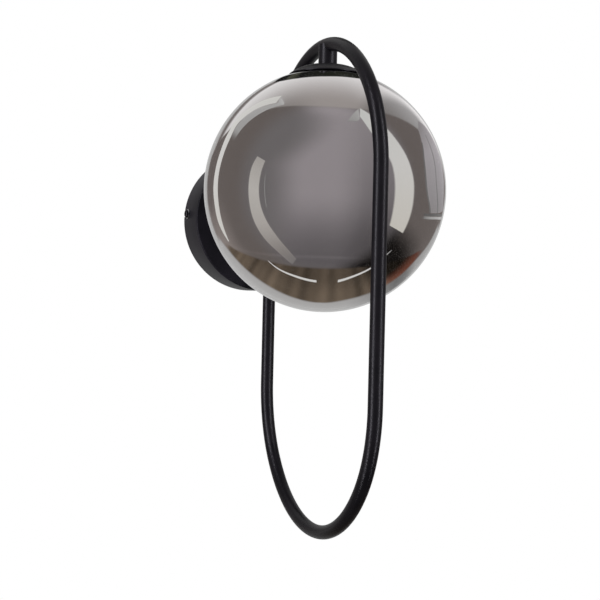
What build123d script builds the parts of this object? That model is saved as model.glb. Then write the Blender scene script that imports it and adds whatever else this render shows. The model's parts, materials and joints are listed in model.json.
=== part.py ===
from build123d import *
import os
from math import atan2, cos, degrees, pi, radians, sin, sqrt

# Globe wall sconce. A smoked glass globe hangs from the top of an upright oval tube, and the tube
# stands out from a deep round wall canopy on a short arm.
# Frame: the wall is the plane Y = 0, the lamp stands out along -Y, +Z is up, and the origin is the
# middle of the canopy on the wall. All sizes are in millimetres.

# ---- oval tube ----
tube_diameter = 11.5
tube_wall = 1.0
frame_half_depth = 121.5       # middle of the oval to the centreline of each leg
frame_end_height = 114.5       # height of each rounded end, on the centreline
frame_side_turn = 38.58        # degrees of the tighter bend next to each straight leg
frame_straight = 176.0         # straight length of each leg
frame_middle_height = -64.5    # middle of the oval, above (+) or below (-) the canopy's middle
rear_leg_out = 62.0            # wall to the rear leg's centreline
wire_hole_diameter = 8.0

# ---- canopy ----
canopy_diameter = 134.0
canopy_depth = 44.0
canopy_sheet = 1.2
canopy_edge_round = 1.6
notch_clearance = 0.4

# ---- wall bracket ----
bracket_width = 24.0
bracket_sheet = 2.0
bracket_side_gap = 0.9         # between a bent ear and the canopy's inner wall, at the ear's corners
bracket_ear_reach = 22.0
bracket_bend_round = 2.5
wall_slot_spacing = 70.0
wall_slot_length = 14.0
wall_slot_width = 5.2
cable_hole_diameter = 20.0
bracket_earth_place = 50.0

# ---- side screws ----
side_screw_thread = 4.0
side_screw_head = 7.6
side_screw_head_height = 2.4
side_screw_out = 14.2          # wall to the screw's axis
side_screw_up = 4.8            # canopy's middle to the screw's axis
side_screw_length = 8.0
side_washer_diameter = 9.2
side_washer_thickness = 0.7
side_washer_gap = 0.3
screw_recess_depth = 1.1
screw_recess_width = 0.9
screw_recess_share = 0.55      # of the head's width
head_round_share = 0.9         # of the head's height
recess_depth_share = 0.6       # most of the head's height that the recess may take

# ---- bosses, threaded tubes, nuts ----
boss_diameter = 15.5
boss_edge_round = 0.6
nipple_diameter = 10.0
nipple_bore = 7.6
thread_gap = 0.05              # radial, in every threaded or push-on hole
nut_across_flats = 14.0
nut_height = 4.0
nut_corner_trim = 1.1          # corners are turned down to this many half widths
washer_diameter = 17.0
lock_washer_thickness = 0.8
arm_nipple_in_boss = 9.5
arm_nipple_inside = 10.0       # how far it stands into the canopy past the front sheet
bush_thickness = 1.0
stem_nipple_stop = 2.5         # threaded tube's top below the oval tube

# ---- strap, terminals, earth ----
strap_width = 18.0
strap_sheet = 2.0
strap_up = 36.0
strap_down = 31.0
strap_corner_round = 4.5
terminal_length = 29.0
terminal_depth = 11.0
terminal_height = 16.0
terminal_screw_sink = 0.5
terminal_middle_up = 26.0
terminal_pitch = 9.5
terminal_sleeve_diameter = 4.4
terminal_sleeve_bore = 2.8
terminal_screw_diameter = 2.6
terminal_screw_spread = 8.6
terminal_edge_round = 0.8
fixing_screw_thread = 3.0
fixing_screw_head = 5.4
fixing_screw_head_height = 1.8
earth_screw_thread = 4.0
earth_screw_head = 7.4
earth_screw_head_height = 2.6
earth_screw_down = 23.0
lug_diameter = 8.4
lug_sheet = 0.8
lug_barrel_diameter = 3.2
lug_barrel_length = 6.0

# ---- wiring ----
lead_diameter = 4.5
lead_bend = 6.0                # where the lead turns into and out of the oval tube
lead_start_out = 29.0          # wall to the sheath's end in the canopy
core_diameter = 1.9
core_offset = 1.15             # lead's middle to each core's middle
core_bend = 3.0
supply_core_bend = 2.7
holder_core_bend = 2.0
core_spread_start = 0.33       # share of the way from sheath to lampholder where wires part
core_spread_end = 0.83         # share of that way where they run straight again
earth_wire_reach = 4.5         # its downward run past the lug's barrel
lead_end_below = 1.0           # sheath's end below the threaded tube

# ---- glass globe ----
globe_diameter = 200.0
globe_wall = 4.0
globe_front_gap = 4.25         # between the globe and the front leg
globe_cap_gap = 0.35           # between the globe and the cap's lip
mouth_gap = 0.35               # radial, between the glass mouth and the threaded collar
mouth_wall = 3.6
mouth_depth = 9.0
mouth_round = 1.6
mouth_end_round = 1.2

# ---- cap, collar, seal ----
cap_diameter = 64.0
cap_sheet = 1.2
stem_length = 11.7             # between the cap's crown and the oval tube
cap_rise = 8.1                 # from the top of the rim to the flat crown
cap_crown_diameter = 17.0
cap_lip = 0.7                  # upright edge under the rim
collar_diameter = 50.0
collar_sheet = 1.2
collar_drop = 9.6
collar_edge_round = 0.8
seal_gap = 0.3
seal_width = 3.4

# ---- lampholder and lamp ----
holder_length = 21.0
holder_width = 14.0
holder_height = 20.0
holder_gap = 8.0               # between the threaded tube's lower end and the lampholder
holder_edge_round = 1.5
holder_strap_width = 14.0
holder_strap_sheet = 1.2
holder_screw_thread = 2.6
holder_screw_head = 4.6
holder_screw_head_height = 1.6
holder_screw_length = 5.0
holder_screw_below_top = 5.0
holder_nipple_below = 6.8      # threaded tube below the collar's plate
pin_pitch = 9.0
pin_wire = 0.8
pin_loop_width = 2.2
pin_length = 9.0
socket_length = 3.6
socket_depth = 12.0
contact_sheet = 0.3
contact_width = 3.2
contact_height = 9.0
contact_gap = 0.08
lamp_gap = 0.5                 # between the lamp's base and the lampholder
lamp_base_diameter = 16.0
lamp_base_height = 10.0
lamp_cover_diameter = 17.0
lamp_cover_wall = 1.0
lamp_cover_length = 37.0
lamp_spigot = 3.0              # part of the base inside the cover
led_board_width = 7.0
led_board_sheet = 1.0
led_size = 2.0
led_thickness = 0.7
led_rows = 6

# ---- worked out from the sizes above ----
tube_radius = tube_diameter / 2
tube_bore_radius = tube_radius - tube_wall
frame_middle_out = rear_leg_out + frame_half_depth
half_straight = frame_straight / 2
side_turn = radians(frame_side_turn)
bend_spread = (frame_half_depth - frame_end_height) / (sin(side_turn) + cos(side_turn) - 1)
side_bend_in = bend_spread * cos(side_turn)
frame_side_bend = frame_half_depth - side_bend_in
top_bend = frame_end_height + bend_spread * sin(side_turn)
top_bend_centre = half_straight + frame_end_height - top_bend
nipple_radius = nipple_diameter / 2
tapped_radius = nipple_radius + thread_gap
canopy_radius = canopy_diameter / 2
canopy_inner_radius = canopy_radius - canopy_sheet
canopy_front_inside = canopy_depth - canopy_sheet
globe_radius = globe_diameter / 2
globe_inner_radius = globe_radius - globe_wall
globe_axis_out = rear_leg_out + 2 * frame_half_depth - tube_radius - globe_front_gap - globe_radius
collar_radius = collar_diameter / 2
mouth_radius = collar_radius + mouth_gap
cap_radius = cap_diameter / 2
cap_crown_radius = cap_crown_diameter / 2
cap_bend = ((cap_radius - cap_crown_radius) ** 2 + cap_rise**2) / (2 * cap_rise)


def top_arc_height(out):
    """Height of the oval's top centreline at a distance out from the wall."""
    across = out - frame_middle_out
    return frame_middle_height + top_bend_centre + sqrt(top_bend**2 - across**2)


stem_tube_height = top_arc_height(globe_axis_out)
stem_top_up = stem_tube_height - tube_radius
cap_top_up = stem_top_up - stem_length
cap_rim_up = cap_top_up - cap_rise
cap_bend_centre_up = cap_top_up - cap_bend
cap_inner_radius = cap_radius - cap_sheet
globe_middle_up = (
    cap_rim_up - cap_lip - globe_cap_gap - sqrt(globe_radius**2 - cap_inner_radius**2)
)
nipple_top_up = stem_top_up - stem_nipple_stop
collar_top_up = cap_top_up - cap_sheet - nut_height - lock_washer_thickness
collar_plate_under = collar_top_up - collar_sheet
holder_nut_top_up = collar_plate_under - holder_strap_sheet
nipple_bottom_up = collar_plate_under - holder_nipple_below
holder_top_up = nipple_bottom_up - holder_gap
holder_bottom_up = holder_top_up - holder_height
lamp_top_up = holder_bottom_up - lamp_gap
lamp_base_bottom_up = lamp_top_up - lamp_base_height


def sphere_height(radius, reach):
    """Height of a sphere of that radius about the globe's middle, at a reach from its axis."""
    return globe_middle_up + sqrt(radius**2 - reach**2)


def dome_height(reach, sheet=0.0):
    """Height of the cap's domed part at a reach from its axis, or of its underside."""
    return cap_bend_centre_up + sqrt((cap_bend - sheet) ** 2 - (reach - cap_crown_radius) ** 2)


frame_plane = Plane(
    origin=(0, -frame_middle_out, frame_middle_height), x_dir=(0, 1, 0), z_dir=(1, 0, 0)
)
globe_axis = Axis((0, -globe_axis_out, 0), (0, 0, 1))
globe_section = Plane(origin=(0, -globe_axis_out, 0), x_dir=(1, 0, 0), z_dir=(0, -1, 0))


def level(height):
    """Horizontal plane on the globe's axis, facing up."""
    return Plane(origin=(0, -globe_axis_out, height), x_dir=(1, 0, 0), z_dir=(0, 0, 1))


def wall_plane(out, across=0.0, up=0.0):
    """Upright plane that faces the room, at a distance out from the wall."""
    return Plane(origin=(across, -out, up), x_dir=(1, 0, 0), z_dir=(0, -1, 0))


def inside_plane(out, across=0.0, up=0.0):
    """Upright plane that faces the wall, at a distance out from it."""
    return Plane(origin=(across, -out, up), x_dir=(-1, 0, 0), z_dir=(0, 1, 0))


def side_plane(side, across, out, up):
    """Upright plane that faces sideways: side is +1 to the right and -1 to the left."""
    return Plane(origin=(side * across, -out, up), x_dir=(0, side, 0), z_dir=(side, 0, 0))


def tube(plane, outer_radius, inner_radius, length):
    """Round tube, washer or bush that stands on a plane."""
    with BuildPart() as piece:
        with BuildSketch(plane):
            Circle(outer_radius)
            Circle(inner_radius, mode=Mode.SUBTRACT)
        extrude(amount=length)
    return piece.part


def hex_nut(plane):
    """Thin hexagon nut for the threaded tubes, chamfered on its free face."""
    with BuildPart() as nut:
        with BuildSketch(plane):
            RegularPolygon(nut_across_flats / 2, 6, major_radius=False)
        extrude(amount=nut_height)
        with BuildSketch(plane):
            Circle(nut_across_flats / 2 * nut_corner_trim)
        extrude(amount=nut_height, mode=Mode.INTERSECT)
        with BuildSketch(plane):
            Circle(tapped_radius)
        extrude(amount=nut_height, mode=Mode.SUBTRACT)
    return nut.part


def domed_screw(plane, head_diameter, head_height, thread_diameter, length):
    """Domed screw with a cross recess. The plane is under the head and faces the way it shows."""
    with BuildPart() as screw:
        with BuildSketch(plane):
            Circle(head_diameter / 2)
        extrude(amount=head_height)
        fillet(screw.edges().sort_by(Axis(plane.origin, plane.z_dir))[-1], head_height * head_round_share)
        with BuildSketch(plane.offset(head_height)):
            Rectangle(head_diameter * screw_recess_share, screw_recess_width)
            Rectangle(screw_recess_width, head_diameter * screw_recess_share)
        recess = min(screw_recess_depth, head_height * recess_depth_share)
        extrude(amount=-recess, mode=Mode.SUBTRACT)
        with BuildSketch(plane):
            Circle(thread_diameter / 2)
        extrude(amount=-length)
    return screw.part


def solid_oval(radius):
    """Closed oval bar along the tube's centreline."""
    with BuildPart() as bar:
        with BuildLine(frame_plane):
            Line((frame_half_depth, 0), (frame_half_depth, half_straight))
            CenterArc((side_bend_in, half_straight), frame_side_bend, 0, frame_side_turn)
            CenterArc(
                (0, top_bend_centre), top_bend, frame_side_turn, 180 - 2 * frame_side_turn
            )
            CenterArc(
                (-side_bend_in, half_straight),
                frame_side_bend,
                180 - frame_side_turn,
                frame_side_turn,
            )
            Line((-frame_half_depth, half_straight), (-frame_half_depth, 0))
        with BuildSketch(Plane(origin=(0, -rear_leg_out, frame_middle_height))):
            Circle(radius)
        sweep()
        mirror(about=Plane.XY.offset(frame_middle_height))
    return bar.part


def wire(points, radii, diameter):
    """Round insulated wire along straight runs and arcs."""
    with BuildPart() as strand:
        with BuildLine() as route:
            FilletPolyline(*points, radius=radii)
        with BuildSketch(Plane(origin=route.line @ 0, z_dir=route.line % 0)):
            Circle(diameter / 2)
        sweep()
    return strand.part


# ---- wall bracket: a strap on the wall with two ears bent out towards the room ----
ear_corner = sqrt(canopy_inner_radius**2 - (bracket_width / 2) ** 2)
ear_outside = ear_corner - bracket_side_gap
with BuildPart() as wall_bracket:
    with BuildSketch(Plane.XZ):
        Rectangle(2 * ear_outside, bracket_width)
    extrude(amount=bracket_ear_reach)
    with BuildSketch(Plane.XZ.offset(bracket_sheet)):
        Rectangle(2 * (ear_outside - bracket_sheet), bracket_width)
    extrude(amount=bracket_ear_reach, mode=Mode.SUBTRACT)
    back_edges = wall_bracket.edges().filter_by(Axis.Z).group_by(Axis.Y)[-1]
    fillet(back_edges, bracket_bend_round)
    with BuildSketch(Plane.XZ):
        with Locations((-wall_slot_spacing / 2, 0), (wall_slot_spacing / 2, 0)):
            SlotOverall(wall_slot_length, wall_slot_width)
        Circle(cable_hole_diameter / 2)
        with Locations((bracket_earth_place, 0)):
            Circle(earth_screw_thread / 2 + thread_gap)
    extrude(amount=bracket_sheet, mode=Mode.SUBTRACT)
    for side in (-1, 1):
        with BuildSketch(side_plane(side, ear_outside, side_screw_out, side_screw_up)):
            Circle(side_screw_thread / 2 + thread_gap)
        extrude(amount=-bracket_sheet, mode=Mode.SUBTRACT)

with BuildPart() as bracket_earth_screw:
    add(
        domed_screw(
            wall_plane(bracket_sheet + lug_sheet, bracket_earth_place),
            earth_screw_head,
            earth_screw_head_height,
            earth_screw_thread,
            bracket_sheet + lug_sheet,
        )
    )

with BuildPart() as bracket_earth_washer:
    add(
        tube(
            wall_plane(bracket_sheet, bracket_earth_place),
            lug_diameter / 2,
            earth_screw_thread / 2 + thread_gap,
            lug_sheet,
        )
    )

# ---- canopy: a deep drawn cup with its mouth on the wall and a notch for each side screw ----
with BuildPart() as canopy:
    with BuildSketch(Plane.XZ):
        Circle(canopy_radius)
    extrude(amount=canopy_depth)
    fillet(canopy.edges().group_by(Axis.Y)[0], canopy_edge_round)
    with BuildSketch(Plane.XZ):
        Circle(canopy_inner_radius)
    extrude(amount=canopy_front_inside, mode=Mode.SUBTRACT)
    with BuildSketch(Plane.XZ.offset(canopy_front_inside)):
        Circle(tapped_radius)
    extrude(amount=canopy_sheet, mode=Mode.SUBTRACT)
    notch_width = side_screw_thread + 2 * notch_clearance
    with BuildSketch(Plane.YZ.offset(-canopy_diameter)):
        with Locations((-side_screw_out, side_screw_up)):
            Circle(notch_width / 2)
        with Locations((-side_screw_out / 2, side_screw_up)):
            Rectangle(side_screw_out, notch_width)
    extrude(amount=2 * canopy_diameter, mode=Mode.SUBTRACT)

# ---- side screws, each with a flat washer, in the bracket's ears ----
side_washers = {}
side_screws = {}
for side, name in ((-1, "left"), (1, "right")):
    washer_under = canopy_radius + side_washer_gap
    side_washers[name] = tube(
        side_plane(side, washer_under, side_screw_out, side_screw_up),
        side_washer_diameter / 2,
        side_screw_thread / 2 + thread_gap,
        side_washer_thickness,
    )
    side_screws[name] = domed_screw(
        side_plane(side, washer_under + side_washer_thickness, side_screw_out, side_screw_up),
        side_screw_head,
        side_screw_head_height,
        side_screw_thread,
        side_screw_length,
    )

# ---- oval tube, its two welded bosses, and the holes that the lead goes through ----
with BuildPart() as oval_frame:
    add(solid_oval(tube_radius))
    add(solid_oval(tube_bore_radius), mode=Mode.SUBTRACT)
    with BuildSketch(wall_plane(rear_leg_out - tube_diameter)):
        Circle(wire_hole_diameter / 2)
    extrude(amount=tube_diameter, mode=Mode.SUBTRACT)
    with BuildSketch(level(stem_tube_height - tube_diameter)):
        Circle(wire_hole_diameter / 2)
    extrude(amount=tube_diameter, mode=Mode.SUBTRACT)

with BuildPart() as arm_boss:
    with BuildSketch(wall_plane(canopy_depth)):
        Circle(boss_diameter / 2)
    extrude(amount=rear_leg_out - canopy_depth)
    fillet(arm_boss.edges().group_by(Axis.Y)[-1], boss_edge_round)
    with BuildSketch(wall_plane(canopy_depth)):
        Circle(tapped_radius)
    extrude(amount=rear_leg_out - canopy_depth, mode=Mode.SUBTRACT)
    add(solid_oval(tube_radius), mode=Mode.SUBTRACT)

with BuildPart() as stem:
    with BuildSketch(level(cap_top_up)):
        Circle(boss_diameter / 2)
    extrude(amount=stem_tube_height - cap_top_up)
    fillet(stem.edges().group_by(Axis.Z)[0], boss_edge_round)
    with BuildSketch(level(cap_top_up)):
        Circle(tapped_radius)
    extrude(amount=stem_tube_height - cap_top_up, mode=Mode.SUBTRACT)
    add(solid_oval(tube_radius), mode=Mode.SUBTRACT)

# ---- threaded arm tube, with what is clamped on it inside the canopy ----
arm_nipple_end = canopy_depth + arm_nipple_in_boss
arm_nipple_start = canopy_front_inside - arm_nipple_inside
with BuildPart() as arm_nipple:
    add(
        tube(
            wall_plane(arm_nipple_start),
            nipple_radius,
            nipple_bore / 2,
            arm_nipple_end - arm_nipple_start,
        )
    )

with BuildPart() as arm_bush:
    add(
        tube(
            inside_plane(arm_nipple_start),
            nipple_radius,
            lead_diameter / 2 + thread_gap,
            bush_thickness,
        )
    )

strap_back = canopy_front_inside - strap_sheet
fixing_screw_place = terminal_pitch / 2
with BuildPart() as canopy_strap:
    with BuildSketch(wall_plane(strap_back)):
        with Locations((0, (strap_up - strap_down) / 2)):
            RectangleRounded(strap_width, strap_up + strap_down, strap_corner_round)
        Circle(tapped_radius, mode=Mode.SUBTRACT)
        with Locations((fixing_screw_place, terminal_middle_up)):
            Circle(fixing_screw_thread / 2 + thread_gap, mode=Mode.SUBTRACT)
        with Locations((0, -earth_screw_down)):
            Circle(earth_screw_thread / 2 + thread_gap, mode=Mode.SUBTRACT)
    extrude(amount=strap_sheet)

with BuildPart() as arm_lock_washer:
    add(
        tube(
            inside_plane(strap_back),
            washer_diameter / 2,
            tapped_radius,
            lock_washer_thickness,
        )
    )

with BuildPart() as arm_nut:
    add(hex_nut(inside_plane(strap_back - lock_washer_thickness)))

# ---- three-pole terminal block on the strap ----
terminal_back = strap_back - terminal_depth
terminal_way_out = strap_back - terminal_depth / 2
pole_places = [-terminal_pitch, 0.0, terminal_pitch]
screw_places = [
    (pole, side * terminal_screw_spread / 2) for pole in pole_places for side in (-1, 1)
]
sleeve_radius = terminal_sleeve_diameter / 2
terminal_screw_radius = terminal_screw_diameter / 2
with BuildPart() as terminal_block:
    with BuildSketch(wall_plane(terminal_back, 0, terminal_middle_up)):
        Rectangle(terminal_length, terminal_height)
    extrude(amount=terminal_depth)
    fillet(terminal_block.edges().filter_by(Axis.Z), terminal_edge_round)
    with BuildSketch(Plane.XY.offset(terminal_middle_up - terminal_height / 2)):
        for place in pole_places:
            with Locations((place, -terminal_way_out)):
                Circle(sleeve_radius + thread_gap)
    extrude(amount=terminal_height, mode=Mode.SUBTRACT)
    with BuildSketch(wall_plane(terminal_back, 0, terminal_middle_up)):
        with Locations(*screw_places):
            Circle(terminal_screw_radius + thread_gap)
    extrude(amount=terminal_depth / 2, mode=Mode.SUBTRACT)
    with BuildSketch(wall_plane(terminal_back, fixing_screw_place, terminal_middle_up)):
        Circle(fixing_screw_thread / 2 + thread_gap)
    extrude(amount=terminal_depth, mode=Mode.SUBTRACT)

with BuildPart() as terminal_sleeves:
    with BuildSketch(Plane.XY.offset(terminal_middle_up - terminal_height / 2)):
        for place in pole_places:
            with Locations((place, -terminal_way_out)):
                Circle(sleeve_radius)
                Circle(terminal_sleeve_bore / 2, mode=Mode.SUBTRACT)
    extrude(amount=terminal_height)
    with BuildSketch(wall_plane(terminal_back, 0, terminal_middle_up)):
        with Locations(*screw_places):
            Circle(terminal_screw_radius + thread_gap)
    extrude(amount=terminal_depth / 2, mode=Mode.SUBTRACT)

terminal_screw_length = (
    terminal_depth / 2 - terminal_screw_sink - core_diameter / 2 - 2 * thread_gap
)
with BuildPart() as terminal_screws:
    with BuildSketch(wall_plane(terminal_back + terminal_screw_sink, 0, terminal_middle_up)):
        with Locations(*screw_places):
            Circle(terminal_screw_radius)
    extrude(amount=terminal_screw_length)
    with BuildSketch(wall_plane(terminal_back + terminal_screw_sink, 0, terminal_middle_up)):
        with Locations(*screw_places):
            Rectangle(terminal_screw_diameter, screw_recess_width / 2)
    extrude(amount=screw_recess_depth / 2, mode=Mode.SUBTRACT)

with BuildPart() as terminal_fixing_screw:
    add(
        domed_screw(
            inside_plane(terminal_back, fixing_screw_place, terminal_middle_up),
            fixing_screw_head,
            fixing_screw_head_height,
            fixing_screw_thread,
            terminal_depth + strap_sheet,
        )
    )

# ---- earth lug and its screw, on the strap's lower end ----
lug_radius = lug_diameter / 2
lug_barrel_radius = lug_barrel_diameter / 2
lug_barrel_out = strap_back - lug_barrel_radius
lug_barrel_end = lug_radius + lug_barrel_radius + lug_barrel_length
with BuildPart() as earth_lug:
    with BuildSketch(wall_plane(strap_back - lug_sheet, 0, -earth_screw_down)):
        Circle(lug_radius)
        with Locations((lug_radius, 0)):
            Rectangle(lug_barrel_diameter * 2, lug_barrel_diameter)
        Circle(earth_screw_thread / 2 + thread_gap, mode=Mode.SUBTRACT)
    extrude(amount=lug_sheet)
    with BuildSketch(Plane.YZ.offset(lug_barrel_end)):
        with Locations((-lug_barrel_out, -earth_screw_down)):
            Circle(lug_barrel_radius)
    extrude(amount=-lug_barrel_length)
    with BuildSketch(Plane.YZ.offset(lug_barrel_end)):
        with Locations((-lug_barrel_out, -earth_screw_down)):
            Circle(core_diameter / 2 + thread_gap)
    extrude(amount=-lug_barrel_length, mode=Mode.SUBTRACT)

with BuildPart() as earth_screw:
    add(
        domed_screw(
            inside_plane(strap_back - lug_sheet, 0, -earth_screw_down),
            earth_screw_head,
            earth_screw_head_height,
            earth_screw_thread,
            lug_sheet + strap_sheet,
        )
    )

# ---- cap, threaded collar and the nuts that hold them on the upright threaded tube ----
rim_angle = degrees(atan2(cap_bend - cap_rise, cap_radius - cap_crown_radius))
inner_bend = cap_bend - cap_sheet
inner_rim_up = dome_height(cap_inner_radius, cap_sheet)
inner_rim_angle = degrees(
    atan2(inner_rim_up - cap_bend_centre_up, cap_inner_radius - cap_crown_radius)
)
with BuildPart() as cap:
    with BuildSketch(globe_section):
        with BuildLine():
            Line((tapped_radius, cap_top_up), (cap_crown_radius, cap_top_up))
            CenterArc(
                (cap_crown_radius, cap_bend_centre_up), cap_bend, 90, rim_angle - 90
            )
            Line((cap_radius, cap_rim_up), (cap_radius, cap_rim_up - cap_lip))
            Line((cap_radius, cap_rim_up - cap_lip), (cap_inner_radius, cap_rim_up - cap_lip))
            Line((cap_inner_radius, cap_rim_up - cap_lip), (cap_inner_radius, inner_rim_up))
            CenterArc(
                (cap_crown_radius, cap_bend_centre_up),
                inner_bend,
                inner_rim_angle,
                90 - inner_rim_angle,
            )
            Line((cap_crown_radius, cap_top_up - cap_sheet), (tapped_radius, cap_top_up - cap_sheet))
            Line((tapped_radius, cap_top_up - cap_sheet), (tapped_radius, cap_top_up))
        make_face()
    revolve(axis=globe_axis)

with BuildPart() as stem_nipple:
    add(
        tube(
            level(nipple_bottom_up),
            nipple_radius,
            nipple_bore / 2,
            nipple_top_up - nipple_bottom_up,
        )
    )

with BuildPart() as cap_lock_washer:
    add(
        tube(
            level(collar_top_up + nut_height),
            washer_diameter / 2,
            tapped_radius,
            lock_washer_thickness,
        )
    )

with BuildPart() as cap_nut:
    add(hex_nut(level(collar_top_up)))

with BuildPart() as neck_collar:
    with BuildSketch(level(collar_top_up - collar_drop)):
        Circle(collar_radius)
    extrude(amount=collar_drop)
    fillet(neck_collar.edges().group_by(Axis.Z)[-1], collar_edge_round)
    with BuildSketch(level(collar_top_up - collar_drop)):
        Circle(collar_radius - collar_sheet)
    extrude(amount=collar_drop - collar_sheet, mode=Mode.SUBTRACT)
    with BuildSketch(level(collar_plate_under)):
        Circle(tapped_radius)
    extrude(amount=collar_sheet, mode=Mode.SUBTRACT)

with BuildPart() as holder_nut:
    add(hex_nut(level(holder_nut_top_up - nut_height)))

# ---- tapered silicone seal between the cap's dome and the glass ----
seal_inner = collar_radius + seal_gap
seal_outer = seal_inner + seal_width
with BuildPart() as neck_seal:
    with BuildSketch(globe_section):
        Polygon(
            (seal_inner, sphere_height(globe_radius, seal_inner) + seal_gap),
            (seal_outer, sphere_height(globe_radius, seal_outer) + seal_gap),
            (seal_outer, dome_height(seal_outer, cap_sheet) - seal_gap),
            (seal_inner, dome_height(seal_inner, cap_sheet) - seal_gap),
            align=None,
        )
    revolve(axis=globe_axis)

# ---- glass globe: a shell whose mouth turns in as a short neck ----
neck_radius = mouth_radius + mouth_wall
mouth_top_up = sphere_height(globe_radius, mouth_radius)
neck_bottom_up = mouth_top_up - mouth_depth
neck_joint_up = sphere_height(globe_inner_radius, neck_radius)
outer_mouth_angle = degrees(atan2(mouth_top_up - globe_middle_up, mouth_radius))
inner_mouth_angle = degrees(atan2(neck_joint_up - globe_middle_up, neck_radius))
with BuildPart() as globe:
    with BuildSketch(globe_section):
        with BuildLine():
            CenterArc((0, globe_middle_up), globe_radius, -90, 90 + outer_mouth_angle)
            Line((mouth_radius, mouth_top_up), (mouth_radius, neck_bottom_up))
            Line((mouth_radius, neck_bottom_up), (neck_radius, neck_bottom_up))
            Line((neck_radius, neck_bottom_up), (neck_radius, neck_joint_up))
            CenterArc(
                (0, globe_middle_up),
                globe_inner_radius,
                inner_mouth_angle,
                -90 - inner_mouth_angle,
            )
            Line(
                (0, globe_middle_up - globe_inner_radius), (0, globe_middle_up - globe_radius)
            )
        make_face()
    revolve(axis=globe_axis)
    mouth_rings = globe.edges().filter_by(GeomType.CIRCLE).filter_by(
        lambda ring: ring.radius < neck_radius + mouth_gap
    ).group_by(Axis.Z)
    fillet(mouth_rings[-1] + mouth_rings[-2], mouth_round)
    fillet(
        globe.edges().filter_by(GeomType.CIRCLE).filter_by(
            lambda ring: abs(ring.arc_center.Z - neck_bottom_up) < mouth_gap / 2
        ),
        mouth_end_round,
    )

# ---- lampholder: a ceramic body with two sockets, hung from a bent steel strap ----
holder_half = holder_length / 2
pin_half = pin_wire / 2
socket_width = 2 * (pin_half + contact_gap + contact_sheet + thread_gap)
with BuildPart() as lampholder:
    with BuildSketch(level(holder_bottom_up)):
        RectangleRounded(holder_length, holder_width, holder_edge_round)
    extrude(amount=holder_height)
    with BuildSketch(level(holder_bottom_up)):
        with GridLocations(pin_pitch, 0, 2, 1):
            Rectangle(socket_length, socket_width)
    extrude(amount=socket_depth, mode=Mode.SUBTRACT)
    with BuildSketch(level(holder_bottom_up + socket_depth)):
        with GridLocations(pin_pitch, 0, 2, 1):
            Circle(core_diameter / 2 + contact_gap)
    extrude(amount=holder_height - socket_depth, mode=Mode.SUBTRACT)
    for side in (-1, 1):
        screw_up = holder_top_up - holder_screw_below_top
        with BuildSketch(side_plane(side, holder_half, globe_axis_out, screw_up)):
            Circle(holder_screw_thread / 2 + thread_gap)
        extrude(amount=-holder_screw_length, mode=Mode.SUBTRACT)

strap_half = holder_half + thread_gap + holder_strap_sheet
strap_bottom_up = holder_top_up - 2 * holder_screw_below_top
with BuildPart() as holder_strap:
    with BuildSketch(level(strap_bottom_up)):
        Rectangle(2 * strap_half, holder_strap_width)
    extrude(amount=collar_plate_under - strap_bottom_up)
    with BuildSketch(level(strap_bottom_up)):
        Rectangle(2 * (strap_half - holder_strap_sheet), holder_strap_width)
    extrude(amount=holder_nut_top_up - strap_bottom_up, mode=Mode.SUBTRACT)
    fillet(
        holder_strap.edges().filter_by(Axis.Y).group_by(Axis.Z)[-1], holder_strap_sheet
    )
    with BuildSketch(level(holder_nut_top_up)):
        Circle(tapped_radius)
    extrude(amount=holder_strap_sheet, mode=Mode.SUBTRACT)
    for side in (-1, 1):
        screw_up = holder_top_up - holder_screw_below_top
        with BuildSketch(side_plane(side, strap_half, globe_axis_out, screw_up)):
            Circle(holder_screw_thread / 2 + thread_gap)
        extrude(amount=-holder_strap_sheet, mode=Mode.SUBTRACT)

with BuildPart() as holder_screws:
    for side in (-1, 1):
        screw_up = holder_top_up - holder_screw_below_top
        add(
            domed_screw(
                side_plane(side, strap_half, globe_axis_out, screw_up),
                holder_screw_head,
                holder_screw_head_height,
                holder_screw_thread,
                holder_screw_length,
            )
        )

contact_outer = 2 * (pin_half + contact_gap + contact_sheet)
contact_inner = 2 * (pin_half + contact_gap)
contact_top_up = holder_bottom_up + socket_depth
with BuildPart() as socket_contacts:
    with BuildSketch(level(contact_top_up)):
        with GridLocations(pin_pitch, 0, 2, 1):
            Rectangle(contact_width, contact_outer)
    extrude(amount=-contact_height)
    with BuildSketch(level(contact_top_up - contact_sheet)):
        with GridLocations(pin_pitch, 0, 2, 1):
            Rectangle(contact_width, contact_inner)
    extrude(amount=-contact_height, mode=Mode.SUBTRACT)

# ---- two-pin lamp: looped pins, base, light source on a board, clear cover ----
loop_half = (pin_loop_width - pin_wire) / 2
loop_straight_up = lamp_top_up + pin_length - pin_half - loop_half
with BuildPart() as lamp_pins:
    for side in (-1, 1):
        pin_middle = side * pin_pitch / 2
        pin_start = Plane(
            origin=(pin_middle + loop_half, -globe_axis_out, lamp_top_up), z_dir=(0, 0, 1)
        )
        with BuildLine(globe_section) as pin_route:
            Line(
                (pin_middle + loop_half, lamp_top_up), (pin_middle + loop_half, loop_straight_up)
            )
            CenterArc((pin_middle, loop_straight_up), loop_half, 0, 180)
            Line(
                (pin_middle - loop_half, loop_straight_up), (pin_middle - loop_half, lamp_top_up)
            )
        with BuildSketch(pin_start):
            Circle(pin_half)
        sweep(path=pin_route.line)

cover_inner = lamp_cover_diameter / 2 - lamp_cover_wall
with BuildPart() as lamp_base:
    with BuildSketch(level(lamp_base_bottom_up)):
        Circle(lamp_base_diameter / 2)
    extrude(amount=lamp_base_height)
    chamfer(lamp_base.edges().group_by(Axis.Z)[-1], lamp_cover_wall)
    with BuildSketch(level(lamp_base_bottom_up)):
        Circle(cover_inner - thread_gap)
    extrude(amount=-lamp_spigot)

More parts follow.
